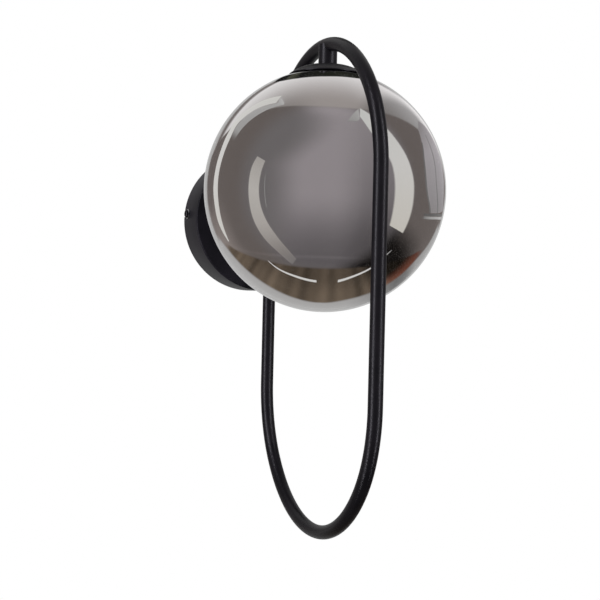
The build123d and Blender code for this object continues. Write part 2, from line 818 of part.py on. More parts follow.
cover_radius = lamp_cover_diameter / 2
cover_bottom_up = lamp_base_bottom_up - lamp_cover_length
cover_round_up = cover_bottom_up + cover_radius
with BuildPart() as lamp_cover:
    with BuildSketch(globe_section):
        with BuildLine():
            Line((cover_radius, lamp_base_bottom_up), (cover_radius, cover_round_up))
            CenterArc((0, cover_round_up), cover_radius, 0, -90)
            Line((0, cover_bottom_up), (0, cover_bottom_up + lamp_cover_wall))
            CenterArc((0, cover_round_up), cover_inner, -90, 90)
            Line((cover_inner, cover_round_up), (cover_inner, lamp_base_bottom_up))
            Line((cover_inner, lamp_base_bottom_up), (cover_radius, lamp_base_bottom_up))
        make_face()
    revolve(axis=globe_axis)

board_top_up = lamp_base_bottom_up - lamp_spigot
board_length = board_top_up - cover_round_up
with BuildPart() as led_board:
    with BuildSketch(level(board_top_up)):
        Rectangle(led_board_width, led_board_sheet)
    extrude(amount=-board_length)

with BuildPart() as led_chips:
    for face in (-1, 1):
        chip_middle = face * (led_board_sheet + led_thickness) / 2
        for row in range(led_rows):
            chip_up = board_top_up - (row + 1) * board_length / (led_rows + 1)
            with BuildSketch(level(chip_up - led_size / 2)):
                with Locations((0, chip_middle)):
                    Rectangle(led_size, led_thickness)
            extrude(amount=led_size)

# ---- lead through the oval tube, and the single wires at its two ends ----
lead_end_up = nipple_bottom_up - lead_end_below


def on_frame(out, up):
    """Place on the oval's plane of a point given by its distances from the wall and canopy."""
    return (frame_middle_out - out, up - frame_middle_height)


stem_across = frame_middle_out - globe_axis_out
turn_across = stem_across + lead_bend
turn_height = top_bend_centre + sqrt((top_bend - lead_bend) ** 2 - turn_across**2)
turn_angle = degrees(atan2(turn_height - top_bend_centre, turn_across))
with BuildPart() as inner_lead:
    with BuildLine(frame_plane):
        Line(on_frame(lead_start_out, 0), on_frame(rear_leg_out - lead_bend, 0))
        CenterArc(on_frame(rear_leg_out - lead_bend, lead_bend), lead_bend, 270, -90)
        Line(on_frame(rear_leg_out, lead_bend), (frame_half_depth, half_straight))
        CenterArc((side_bend_in, half_straight), frame_side_bend, 0, frame_side_turn)
        CenterArc((0, top_bend_centre), top_bend, frame_side_turn, turn_angle - frame_side_turn)
        CenterArc((turn_across, turn_height), lead_bend, turn_angle, 180 - turn_angle)
        Line((stem_across, turn_height), on_frame(globe_axis_out, lead_end_up))
    with BuildSketch(wall_plane(lead_start_out)):
        Circle(lead_diameter / 2)
    sweep()

core_back = lead_start_out - 2 * core_bend
wire_end_up = terminal_middle_up - terminal_height / 2 + terminal_screw_spread / 2
core_turn_up = terminal_middle_up - terminal_height / 2 - 2 * core_bend
socket_top_up = holder_bottom_up + socket_depth


def supply_core(side, pole):
    """Single wire from the lead's end in the canopy up into one pole of the terminal block."""
    return wire(
        [
            (side * core_offset, -lead_start_out, 0),
            (side * core_offset, -core_back, 0),
            (pole, -core_back, core_turn_up - core_bend),
            (pole, -terminal_way_out, core_turn_up + core_bend / 2),
            (pole, -terminal_way_out, wire_end_up),
        ],
        supply_core_bend,
        core_diameter,
    )


def holder_core(side):
    """Single wire from the lead's lower end down into one socket of the lampholder."""
    way = lead_end_up - holder_top_up
    return wire(
        [
            (side * core_offset, -globe_axis_out, lead_end_up),
            (side * core_offset, -globe_axis_out, lead_end_up - core_spread_start * way),
            (side * pin_pitch / 2, -globe_axis_out, lead_end_up - core_spread_end * way),
            (side * pin_pitch / 2, -globe_axis_out, socket_top_up),
        ],
        holder_core_bend,
        core_diameter,
    )


with BuildPart() as live_wires:
    add(supply_core(-1, pole_places[0]))
    add(holder_core(-1))

with BuildPart() as neutral_wires:
    add(supply_core(1, pole_places[1]))
    add(holder_core(1))

earth_across = lug_barrel_end + earth_wire_reach
with BuildPart() as earth_wire:
    add(
        wire(
            [
                (pole_places[2], -terminal_way_out, wire_end_up),
                (pole_places[2], -terminal_way_out, core_turn_up),
                (earth_across, -terminal_way_out, 0),
                (earth_across, -lug_barrel_out, -earth_screw_down),
                (lug_barrel_end - lug_barrel_length / 2, -lug_barrel_out, -earth_screw_down),
            ],
            core_bend,
            core_diameter,
        )
    )

# ---- files ----
pieces = {
    "wall_bracket": wall_bracket.part,
    "bracket_earth_screw": bracket_earth_screw.part,
    "bracket_earth_washer": bracket_earth_washer.part,
    "canopy": canopy.part,
    "side_washer_left": side_washers["left"],
    "side_washer_right": side_washers["right"],
    "side_screw_left": side_screws["left"],
    "side_screw_right": side_screws["right"],
    "oval_frame": oval_frame.part,
    "arm_boss": arm_boss.part,
    "stem": stem.part,
    "arm_nipple": arm_nipple.part,
    "arm_bush": arm_bush.part,
    "canopy_strap": canopy_strap.part,
    "arm_lock_washer": arm_lock_washer.part,
    "arm_nut": arm_nut.part,
    "terminal_block": terminal_block.part,
    "terminal_sleeves": terminal_sleeves.part,
    "terminal_screws": terminal_screws.part,
    "terminal_fixing_screw": terminal_fixing_screw.part,
    "earth_lug": earth_lug.part,
    "earth_screw": earth_screw.part,
    "cap": cap.part,
    "stem_nipple": stem_nipple.part,
    "cap_lock_washer": cap_lock_washer.part,
    "cap_nut": cap_nut.part,
    "neck_collar": neck_collar.part,
    "holder_nut": holder_nut.part,
    "neck_seal": neck_seal.part,
    "globe": globe.part,
    "lampholder": lampholder.part,
    "holder_strap": holder_strap.part,
    "holder_screws": holder_screws.part,
    "socket_contacts": socket_contacts.part,
    "lamp_pins": lamp_pins.part,
    "lamp_base": lamp_base.part,
    "lamp_cover": lamp_cover.part,
    "led_board": led_board.part,
    "led_chips": led_chips.part,
    "inner_lead": inner_lead.part,
    "live_wires": live_wires.part,
    "neutral_wires": neutral_wires.part,
    "earth_wire": earth_wire.part,
}
lead_length = inner_lead.part.volume / (pi * (lead_diameter / 2) ** 2)
print(f"inner lead {lead_length:.1f} mm, turns {lead_bend}, {frame_side_bend:.1f}, {top_bend:.1f} mm")
os.makedirs("parts", exist_ok=True)
for name, piece in pieces.items():
    piece.label = name
    export_step(piece, f"parts/{name}.step")
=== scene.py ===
import json
import logging
from dataclasses import dataclass, field
from enum import Enum
from math import acos, asin, atan2, cos, degrees, pi, radians, sin, sqrt
from typing import Protocol, Sequence

import bmesh
import bpy
import numpy as np
from mathutils import Matrix, Vector

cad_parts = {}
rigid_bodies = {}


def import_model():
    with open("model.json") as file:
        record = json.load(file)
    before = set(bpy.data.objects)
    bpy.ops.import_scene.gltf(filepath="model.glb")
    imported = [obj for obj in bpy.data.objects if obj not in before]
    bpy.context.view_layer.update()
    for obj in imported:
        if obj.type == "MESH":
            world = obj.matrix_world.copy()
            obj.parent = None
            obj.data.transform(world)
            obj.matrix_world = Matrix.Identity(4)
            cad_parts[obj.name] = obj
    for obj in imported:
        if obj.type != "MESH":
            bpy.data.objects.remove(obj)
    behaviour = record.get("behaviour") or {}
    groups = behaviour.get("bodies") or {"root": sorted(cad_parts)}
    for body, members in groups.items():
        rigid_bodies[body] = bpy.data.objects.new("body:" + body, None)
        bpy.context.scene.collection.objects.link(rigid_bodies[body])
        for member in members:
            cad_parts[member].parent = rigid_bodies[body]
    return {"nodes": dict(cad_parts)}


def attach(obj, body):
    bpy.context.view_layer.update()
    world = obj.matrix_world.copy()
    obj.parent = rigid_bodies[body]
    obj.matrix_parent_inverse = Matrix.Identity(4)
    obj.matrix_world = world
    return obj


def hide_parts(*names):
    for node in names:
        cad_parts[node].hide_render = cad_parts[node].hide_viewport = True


"""Looks of the globe wall sconce.

Lengths are in metres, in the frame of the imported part: the wall is the plane Y = 0, the lamp stands
out along -Y, and the origin is the middle of the canopy on the wall.
"""

for leftover in list(bpy.data.objects):
    bpy.data.objects.remove(leftover)
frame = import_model()
bpy.context.view_layer.update()

logging.basicConfig(level=logging.INFO, format="%(message)s")
LOG = logging.getLogger("sconce")

MM = 0.001
WELD_REACH = 1e-7
GLOBE_AXIS = (0.0, -0.195)
GLOBE_MIDDLE_UP = 0.015732
GLOBE_MIDDLE = np.array([*GLOBE_AXIS, GLOBE_MIDDLE_UP])
STAGE_MIDDLE = np.array([0.0, -0.18, -0.06])
NodeTree = bpy.types.NodeTree
Socket = bpy.types.NodeSocket
Colour = tuple[float, float, float, float]


# ---------------------------------------------------------------------------------------------
# Colours and nodes
# ---------------------------------------------------------------------------------------------


def linear(code: str, alpha: float = 1.0) -> Colour:
    """Turns an sRGB hex code into linear colour.

    Args:
        code: Six hex digits after a hash sign.
        alpha: Opacity that goes with the colour.

    Returns:
        Red, green, blue and alpha, each from 0 to 1.
    """
    channels = [int(code[i : i + 2], 16) / 255 for i in (1, 3, 5)]
    flat = [c / 12.92 if c <= 0.04045 else ((c + 0.055) / 1.055) ** 2.4 for c in channels]
    return (flat[0], flat[1], flat[2], alpha)


def grey(level: float) -> Colour:
    """Neutral linear colour of one level."""
    return (level, level, level, 1.0)


def add_node(
    tree: NodeTree,
    kind: str,
    settings: dict[str | int, object] | None = None,
    links: dict[str | int, Socket] | None = None,
) -> bpy.types.Node:
    """Adds one node of any kind.

    Args:
        tree: Node tree that takes the node.
        kind: Name of the node's type.
        settings: Values by property name, or by input name where no property has it.
        links: Sockets by the name or the number of the input that they feed.

    Returns:
        The new node.
    """
    made = tree.nodes.new(kind)
    for name, value in (settings or {}).items():
        if isinstance(name, str) and hasattr(made, name):
            setattr(made, name, value)
        else:
            made.inputs[name].default_value = value
    for name, source in (links or {}).items():
        tree.links.new(source, made.inputs[name])
    return made


def new_material(name: str) -> tuple[bpy.types.Material, NodeTree]:
    """Makes a material whose tree holds only its output.

    Args:
        name: Name of the finish.

    Returns:
        The material and its node tree.
    """
    material = bpy.data.materials.new(name)
    material.use_nodes = True
    tree = material.node_tree
    tree.nodes.clear()
    return material, tree


def finish_surface(tree: NodeTree, shader: Socket) -> None:
    """Feeds a shader to the tree's surface output."""
    add_node(tree, "ShaderNodeOutputMaterial", links={"Surface": shader})


def object_noise(tree: NodeTree, pitch: float, detail: float) -> Socket:
    """Noise that is fixed on the object.

    Args:
        tree: Node tree that takes the nodes.
        pitch: Size of one grain, in metres.
        detail: Number of finer layers.

    Returns:
        The noise's value, from 0 to 1.
    """
    place = add_node(tree, "ShaderNodeTexCoord")
    grain = add_node(
        tree,
        "ShaderNodeTexNoise",
        {"Scale": 1.0 / pitch, "Detail": detail, "Roughness": 0.55},
        {"Vector": place.outputs["Object"]},
    )
    return grain.outputs["Fac"]


def ramp_between(
    tree: NodeTree, factor: Socket, stops: Sequence[tuple[float, Colour]]
) -> bpy.types.Node:
    """Colour ramp over a factor.

    Args:
        tree: Node tree that takes the node.
        factor: Value from 0 to 1.
        stops: Places and colours, in rising order.

    Returns:
        The ramp node.
    """
    ramp = add_node(tree, "ShaderNodeValToRGB", links={"Fac": factor})
    elements = ramp.color_ramp.elements
    while len(elements) < len(stops):
        elements.new(0.5)
    for element, (place, colour) in zip(elements, stops):
        element.position = place
        element.color = colour
    return ramp


# ---------------------------------------------------------------------------------------------
# Finishes
# ---------------------------------------------------------------------------------------------


class Finish(Protocol):
    """Anything that can make its own material."""

    name: str

    def material(self) -> bpy.types.Material:
        """Makes the material."""
        ...


@dataclass(frozen=True)
class Clouding:
    """Broad, faint unevenness of a surface.

    Its noise runs from 0 to 1 over grains of one pitch. Tones are the colours along it, and spread
    is the roughness at its two ends.
    """

    pitch: float
    detail: float = 2.0
    tones: tuple[tuple[float, Colour], ...] = ()
    spread: tuple[float, float] | None = None


@dataclass(frozen=True)
class Relief:
    """Fine unevenness that the light picks out: grains of one pitch and depth.

    Strength is the share of the depth that shows.
    """

    pitch: float
    depth: float
    strength: float
    detail: float = 2.0


def finished_material(
    name: str, clouding: Clouding, relief: Relief | None, settings: dict[str, object]
) -> tuple[bpy.types.Material, bpy.types.Node]:
    """Makes a material from its clouding, its relief and its fixed values.

    Args:
        name: Name of the finish.
        clouding: Unevenness of colour and gloss.
        relief: Fine unevenness of the surface, where it has any.
        settings: Values that are the same all over, by the shader's input.

    Returns:
        The material and its shader node.
    """
    material, tree = new_material(name)
    cloud = object_noise(tree, clouding.pitch, clouding.detail)
    links = {}
    if clouding.tones:
        links["Base Color"] = ramp_between(tree, cloud, clouding.tones).outputs["Color"]
    if clouding.spread:
        low, high = clouding.spread
        rough = add_node(
            tree, "ShaderNodeMapRange", {"To Min": low, "To Max": high}, {"Value": cloud}
        )
        links["Roughness"] = rough.outputs["Result"]
    if relief:
        bump = add_node(
            tree,
            "ShaderNodeBump",
            {"Strength": relief.strength, "Distance": relief.depth},
            {"Height": object_noise(tree, relief.pitch, relief.detail)},
        )
        links["Normal"] = bump.outputs["Normal"]
    shader = add_node(tree, "ShaderNodeBsdfPrincipled", settings, links)
    finish_surface(tree, shader.outputs["BSDF"])
    return material, shader


@dataclass(frozen=True)
class PowderCoat:
    """Satin black polyester powder, sprayed and baked on steel.

    The melted powder leaves a very fine, soft ripple, about 1.6 mm from crest to crest, so
    highlights are broad with slightly uneven edges. The black leans a little to violet.
    """

    name: str = "satin_black_powder_coat"
    deep: str = "#040405"
    pale: str = "#080709"
    roughness: float = 0.36
    gloss: float = 0.07
    ripple: Relief = Relief(1.6 * MM, 0.012 * MM, 0.5)

    def material(self) -> bpy.types.Material:
        """Makes the material."""
        clouding = Clouding(
            24 * MM,
            tones=((0.3, linear(self.deep)), (0.7, linear(self.pale))),
            spread=(self.roughness - 0.03, self.roughness + 0.03),
        )
        settings = {"IOR": 1.5, "Specular IOR Level": self.gloss}
        return finished_material(self.name, clouding, self.ripple, settings)[0]


@dataclass(frozen=True)
class MirroredSmokeGlass:
    """Blown soda-lime glass, smoke grey, with a half-transparent metal coat baked on it.

    The thin metal film mirrors the room and hides what is inside while the lamp is off. Blown
    glass is a little uneven, so reflected straight edges waver slightly.
    """

    name: str = "half_mirrored_smoke_glass"
    deep: str = "#c2c0be"
    pale: str = "#c4c2c1"
    metallic: float = 0.86
    roughness: float = 0.012
    wave: Relief = Relief(70 * MM, 0.05 * MM, 1.0, 1.0)

    def material(self) -> bpy.types.Material:
        """Makes the material."""
        tones = ((0.2, linear(self.deep)), (0.8, linear(self.pale)))
        settings = {
            "Metallic": self.metallic,
            "Roughness": self.roughness,
            "IOR": 1.52,
            "Transmission Weight": 1.0,
        }
        clouding = Clouding(self.wave.pitch, 1.0, tones)
        return finished_material(self.name, clouding, self.wave, settings)[0]


class Plating(Enum):
    """Metals that show bare, each with its two tones and its roughness."""

    ZINC = ("bright_zinc_plate", "#a9adb1", "#c6c9cc", 0.30)
    BRASS = ("turned_brass", "#b08d4e", "#c9a766", 0.26)
    TIN = ("tin_plate", "#b1b0ac", "#cbcac6", 0.32)


@dataclass(frozen=True)
class BareMetal:
    """Plated or turned metal with a fine grain and faint clouding, so its gloss is broken up."""

    plating: Plating
    grain: Relief = Relief(0.9 * MM, 0.02 * MM, 0.4)

    @property
    def name(self) -> str:
        """Name of the finish."""
        return self.plating.value[0]

    def material(self) -> bpy.types.Material:
        """Makes the material."""
        name, deep, pale, roughness = self.plating.value
        tones = ((0.3, linear(deep)), (0.7, linear(pale)))
        clouding = Clouding(7 * MM, 3.0, tones, (roughness - 0.06, roughness + 0.10))
        return finished_material(name, clouding, self.grain, {"Metallic": 1.0})[0]


@dataclass(frozen=True)
class MouldedPolymer:
    """Injection-moulded or extruded polymer with the fine, dull texture of its tool.

    A second colour, where there is one, runs in stripes round a wire's insulation.
    """

    name: str
    colour: str
    stripe: str = ""
    roughness: float = 0.45
    shade: float = 0.86
    stripe_pitch: float = 6 * MM
    texture: Relief = Relief(0.8 * MM, 0.03 * MM, 0.35)

    def material(self) -> bpy.types.Material:
        """Makes the material."""
        base = linear(self.colour)
        darker = (*(self.shade * part for part in base[:3]), 1.0)
        clouding = Clouding(12 * MM, tones=((0.25, darker), (0.75, base)))
        settings = {"Roughness": self.roughness, "IOR": 1.49}
        material, shader = finished_material(self.name, clouding, self.texture, settings)
        if self.stripe:
            self.add_stripe(material.node_tree, shader.inputs["Base Color"])
        return material

    def add_stripe(self, tree: NodeTree, colour: Socket) -> None:
        """Lays the second colour over the first in bands along Z.

        Args:
            tree: Node tree of the material.
            colour: The shader's colour input, which has the first colour.
        """
        place = add_node(tree, "ShaderNodeTexCoord")
        # A wave texture's scale of 0.314 gives one band a unit.
        bands = add_node(
            tree,
            "ShaderNodeTexWave",
            {"bands_direction": "Z", "Scale": 0.314 / self.stripe_pitch},
            {"Vector": place.outputs["Object"]},
        )
        step = add_node(
            tree, "ShaderNodeMath", {"operation": "GREATER_THAN", 1: 0.6}, {0: bands.outputs["Fac"]}
        )
        mix = add_node(
            tree,
            "ShaderNodeMix",
            {"data_type": "RGBA", 7: linear(self.stripe)},
            {0: step.outputs["Value"], 6: colour.links[0].from_socket},
        )
        tree.links.new(mix.outputs[2], colour)


@dataclass(frozen=True)
class ClearPolycarbonate:
    """Clear moulded polycarbonate with a slight haze, as on a plug-in lamp's cover."""

    name: str = "clear_polycarbonate"
    colour: str = "#f1f2f0"
    lower_left_light: float = 0.16

    def material(self) -> bpy.types.Material:
        """Makes the material."""
        clouding = Clouding(5 * MM, spread=(self.lower_left_light - 0.05, self.lower_left_light + 0.05))
        settings = {"Base Color": linear(self.colour), "IOR": 1.58, "Transmission Weight": 0.92}
        return finished_material(self.name, clouding, None, settings)[0]


@dataclass(frozen=True)
class FiredSteatite:
    """Unglazed steatite, pressed and fired: chalky off-white with sparse dark specks."""

    name: str = "fired_steatite"
    speck: str = "#a89f8c"
    colour: str = "#e4dfd2"
    pale: str = "#ece8dd"
    chalk: Relief = Relief(0.35 * MM, 0.03 * MM, 0.5, 3.0)

    def material(self) -> bpy.types.Material:
        """Makes the material."""
        tones = ((0.26, linear(self.speck)), (0.36, linear(self.colour)), (1.0, linear(self.pale)))
        clouding = Clouding(0.7 * MM, 1.0, tones)
        settings = {"Roughness": 0.62, "IOR": 1.6}
        return finished_material(self.name, clouding, self.chalk, settings)[0]


POWDER_COAT = PowderCoat()
# A flatter copy of the same black coat for the drawn cup, a shade paler: the paler black is painted
# light on the cup's front.
CANOPY_LIT_COAT = PowderCoat("canopy_lit_matt_black_powder_coat", deep="#0b0b0d", pale="#100f12", gloss=0.03)
SMOKE_GLASS = MirroredSmokeGlass()
ZINC = BareMetal(Plating.ZINC)
BRASS = BareMetal(Plating.BRASS)
TIN = BareMetal(Plating.TIN)
STEATITE = FiredSteatite()
CLEAR_COVER = ClearPolycarbonate()
SILICONE = MouldedPolymer("black_silicone", "#1c1c1e", roughness=0.6)
WHITE_NYLON = MouldedPolymer("white_nylon", "#dcdbd4")
BLACK_NYLON = MouldedPolymer("black_nylon", "#19191b")
SHEATH = MouldedPolymer("black_silicone_sheath", "#232325", roughness=0.5)
BROWN_WIRE = MouldedPolymer("brown_insulation", "#5b3320", roughness=0.4)
BLUE_WIRE = MouldedPolymer("blue_insulation", "#2a67ad", roughness=0.4)
EARTH_WIRE = MouldedPolymer("green_yellow_insulation", "#4f9a38", stripe="#e3cf3a", roughness=0.4)
SOLDER_MASK = MouldedPolymer("white_solder_mask", "#e8e8e4", roughness=0.35)
PHOSPHOR = MouldedPolymer("yellow_phosphor", "#e2c04a", roughness=0.3)


# ---------------------------------------------------------------------------------------------
# Surfaces
# ---------------------------------------------------------------------------------------------


def arc_points(
    middle: tuple[float, float], radius: float, start: float, end: float, steps: int
) -> np.ndarray:
    """Points along a circle's arc: the middle plus the radius times (cosine, sine) of the angle.

    Args:
        middle: Middle of the circle.
        radius: Radius of the circle.
        start: First angle, in degrees.
        end: Last angle, in degrees.
        steps: Number of equal steps.

    Returns:
        Array of steps + 1 points.
    """
    turn = np.radians(np.linspace(start, end, steps + 1))
    return np.column_stack((middle[0] + radius * np.cos(turn), middle[1] + radius * np.sin(turn)))


def rounded_corner(
    before: np.ndarray, corner: np.ndarray, after: np.ndarray, radius: float, steps: int = 6
) -> np.ndarray:
    """Arc that rounds a corner between two straight runs.

    The tangent points lie radius / tan(half the corner's angle) from the corner, and the middle
    lies on the corner's bisector, radius / sin(half the angle) away.

    Args:
        before: Point before the corner.
        corner: The corner.
        after: Point after the corner.
        radius: Radius of the arc.
        steps: Number of equal steps.

    Returns:
        Array of steps + 1 points.
    """
    back = (before - corner) / np.linalg.norm(before - corner)
    ahead = (after - corner) / np.linalg.norm(after - corner)
    half = 0.5 * acos(float(np.clip(back @ ahead, -1, 1)))
    bisector = (back + ahead) / np.linalg.norm(back + ahead)
    middle = corner + bisector * radius / sin(half)
    reach = radius / (sin(half) / cos(half))
    start = corner + back * reach - middle
    end = corner + ahead * reach - middle
    first = atan2(start[1], start[0])
    sweep = (atan2(end[1], end[0]) - first + pi) % (2 * pi) - pi
    return arc_points((middle[0], middle[1]), radius, degrees(first), degrees(first + sweep), steps)


def turned(profile: np.ndarray, sides: int) -> np.ndarray:
    """Turns a profile about the globe's upright axis.

    A point (reach, height) becomes (reach times cosine, reach times sine, height) about the axis.

    Args:
        profile: Array of (reach, height).
        sides: Number of steps round the axis.

    Returns:
        Grid of points, one row a profile point and one column an angle.
    """
    turn = np.linspace(0, 2 * pi, sides, endpoint=False)
    reach = profile[:, 0][:, None]
    grid = np.empty((len(profile), sides, 3))
    grid[:, :, 0] = GLOBE_AXIS[0] + reach * np.cos(turn)[None, :]
    grid[:, :, 1] = GLOBE_AXIS[1] + reach * np.sin(turn)[None, :]
    grid[:, :, 2] = profile[:, 1][:, None]
    return grid


def grid_faces(
    rows: int, columns: int, wrap_rows: bool = False, wrap_columns: bool = False
) -> np.ndarray:
    """Faces of a grid of points, one for each cell.

    Args:
        rows: Number of rows of points.
        columns: Number of columns of points.
        wrap_rows: Whether the last row joins the first.
        wrap_columns: Whether the last column joins the first.

    Returns:
        Array of faces by 4 point numbers.
    """
    numbers = np.arange(rows * columns).reshape(rows, columns)
    if wrap_rows:
        numbers = np.vstack((numbers, numbers[:1]))
    if wrap_columns:
        numbers = np.hstack((numbers, numbers[:, :1]))
    corners = (numbers[:-1, :-1], numbers[:-1, 1:], numbers[1:, 1:], numbers[1:, :-1])
    return np.stack(corners, axis=-1).reshape(-1, 4)


def surface_piece(
    name: str, grid: np.ndarray, wrap_rows: bool, wrap_columns: bool, sharp: float = 35.0
) -> bpy.types.Object:
    """Makes a closed mesh object from a grid of points.

    Points that lie together are welded, which closes poles, and faces are turned outwards by the
    sign of the enclosed volume, which is a sixth of the sum of the triple products of each
    triangle's corners.

    Args:
        name: Name of the piece.
        grid: Array of rows by columns by 3.
        wrap_rows: Whether the last row joins the first.
        wrap_columns: Whether the last column joins the first.
        sharp: Angle in degrees past which an edge stays sharp.

    Returns:
        The new object, linked to the scene.
    """
    faces = grid_faces(*grid.shape[:2], wrap_rows, wrap_columns)
    points = grid.reshape(-1, 3)
    a, b, c, d = (points[faces[:, i]] for i in range(4))
    volume = np.sum(a * np.cross(b, c)) + np.sum(a * np.cross(c, d))
    if volume < 0:
        faces = faces[:, ::-1]
    mesh = bpy.data.meshes.new(name)
    mesh.from_pydata(points.tolist(), [], faces.tolist())
    weld = bmesh.new()
    weld.from_mesh(mesh)
    bmesh.ops.remove_doubles(weld, verts=weld.verts, dist=WELD_REACH)
    weld.to_mesh(mesh)
    weld.free()
    mesh.polygons.foreach_set("use_smooth", np.ones(len(mesh.polygons), dtype=bool))
    mesh.set_sharp_from_angle(angle=radians(sharp))
    piece = bpy.data.objects.new(name, mesh)
    bpy.context.scene.collection.objects.link(piece)
    return piece


# ---------------------------------------------------------------------------------------------
# Sub-assemblies
# ---------------------------------------------------------------------------------------------


class Workshop:
    """Hands out one material for each finish, and dresses nodes and pieces with it."""

    def __init__(self) -> None:
        """Starts with no material made."""
        self.materials: dict[str, bpy.types.Material] = {}

    def of(self, finish: Finish) -> bpy.types.Material:
        """Gives the finish's material, made when it is first asked for."""
        if finish.name not in self.materials:
            self.materials[finish.name] = finish.material()
        return self.materials[finish.name]

    def dress_nodes(self, finishes: dict[str, Finish]) -> None:
        """Gives carried-over nodes their finishes.

        Args:
            finishes: Finish by node name.
        """
        for node, finish in finishes.items():
            for slot in frame["nodes"][node].material_slots:
                slot.material = self.of(finish)
            LOG.info("dressed %s in %s", node, finish.name)

    def place(
        self, piece: bpy.types.Object, body: str, node: str, slot: str, finish: Finish
    ) -> None:
        """Finishes a new piece that stands for a node.

        Args:
            piece: The new object.
            body: Body that carries it.
            node: Node that it stands for.
            slot: The record's material slot; not used.
            finish: Finish of the piece.
        """
        piece.data.materials.clear()
        piece.data.materials.append(self.of(finish))
        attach(piece, body)
        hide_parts(node)
        LOG.info("built %s with %d faces", piece.name, len(piece.data.polygons))


@dataclass
class KeptPieces:
    """Pieces that keep the solids' shapes and get their finishes."""

    finishes: dict[str, Finish]

    def dress(self, shop: Workshop) -> None:
        """Dresses the pieces."""
        shop.dress_nodes(self.finishes)


@dataclass
class WallBracket(KeptPieces):
    """Strap bracket on the wall with its earth screw."""

    finishes: dict[str, Finish] = field(
        default_factory=lambda: {
            "wall_bracket": ZINC,
            "bracket_earth_washer": ZINC,
            "bracket_earth_screw": BRASS,
        }
    )


@dataclass
class Canopy:
    """Deep drawn cup with its mouth on the wall, notched at each side for its screw."""

    radius: float = 67.0 * MM
    depth: float = 44.0 * MM
    sheet: float = 1.2 * MM
    edge_round: float = 1.6 * MM
    hole_radius: float = 5.05 * MM
    notch_half: float = 2.4 * MM
    notch_up: float = 4.8 * MM
    notch_out: float = 14.2 * MM
    notch_steps: int = 12
    bend_steps: int = 8
    sides: int = 240

    def rim_and_angles(self) -> tuple[np.ndarray, np.ndarray]:
        """Angles round the cup and how far out from the wall the rim starts at each.

        A notch takes the rim out to notch_out plus the height of a half circle of notch_half over
        the notch's middle. Each side of a notch has two columns at one angle.

        Returns:
            Angles in radians and rim distances in metres.
        """
        middle = asin(self.notch_up / self.radius)
        half = self.notch_half / (self.radius * cos(middle))
        share = np.cos(np.linspace(pi, 0, self.notch_steps + 1))
        inside = share * half
        depth = self.notch_out + np.sqrt(np.maximum(0, 1 - share**2)) * self.notch_half
        right = middle + inside
        left = pi - middle + inside
        plain_upper = np.linspace(middle + half, pi - middle - half, self.sides // 2)
        plain_lower = np.linspace(pi - middle + half, 2 * pi + middle - half, self.sides // 2)
        angles = np.concatenate((right, plain_upper, left, plain_lower))
        rims = np.concatenate(
            (depth, np.zeros(len(plain_upper)), depth, np.zeros(len(plain_lower)))
        )
        return angles, rims

    def build(self, shop: Workshop) -> None:
        """Builds the cup as a closed sheet: outer wall, front face, hole, inside, rim.

        Args:
            shop: Gives the finishes.
        """
        angles, rims = self.rim_and_angles()
        inner = self.radius - self.sheet
        past_notch = self.notch_out + 2 * self.notch_half
        bend_middle = (self.radius - self.edge_round, self.depth - self.edge_round)
        fixed = np.array(
            [
                (self.radius, past_notch),
                *arc_points(bend_middle, self.edge_round, 0, 90, self.bend_steps),
                (self.radius / 2, self.depth),
                (self.hole_radius, self.depth),
                (self.hole_radius, self.depth - self.sheet),
                (inner, self.depth - self.sheet),
                (inner, past_notch),
            ]
        )
        columns = len(angles)
        outer_rim, inner_rim = (np.full((2, columns), side) for side in (self.radius, inner))
        middle_reach, middle_out = (np.repeat(fixed[:, [i]], columns, axis=1) for i in (0, 1))
        reach = np.concatenate((outer_rim, middle_reach, inner_rim))
        cut = np.maximum(rims, self.notch_out)
        out = np.concatenate((rims[None], cut[None], middle_out, cut[None], rims[None]))
        grid = np.stack((reach * np.cos(angles), -out, reach * np.sin(angles)), axis=-1)
        piece = surface_piece("canopy_cup", grid, wrap_rows=True, wrap_columns=True)
        shop.place(piece, "lamp", "canopy", "black_powder_coat", CANOPY_LIT_COAT)


@dataclass
class SideScrews(KeptPieces):
    """The two domed screws that hold the canopy, with their washers."""

    finishes: dict[str, Finish] = field(
        default_factory=lambda: {
            "side_screw_left": POWDER_COAT,
            "side_screw_right": POWDER_COAT,
            "side_washer_left": ZINC,
            "side_washer_right": ZINC,
        }
    )


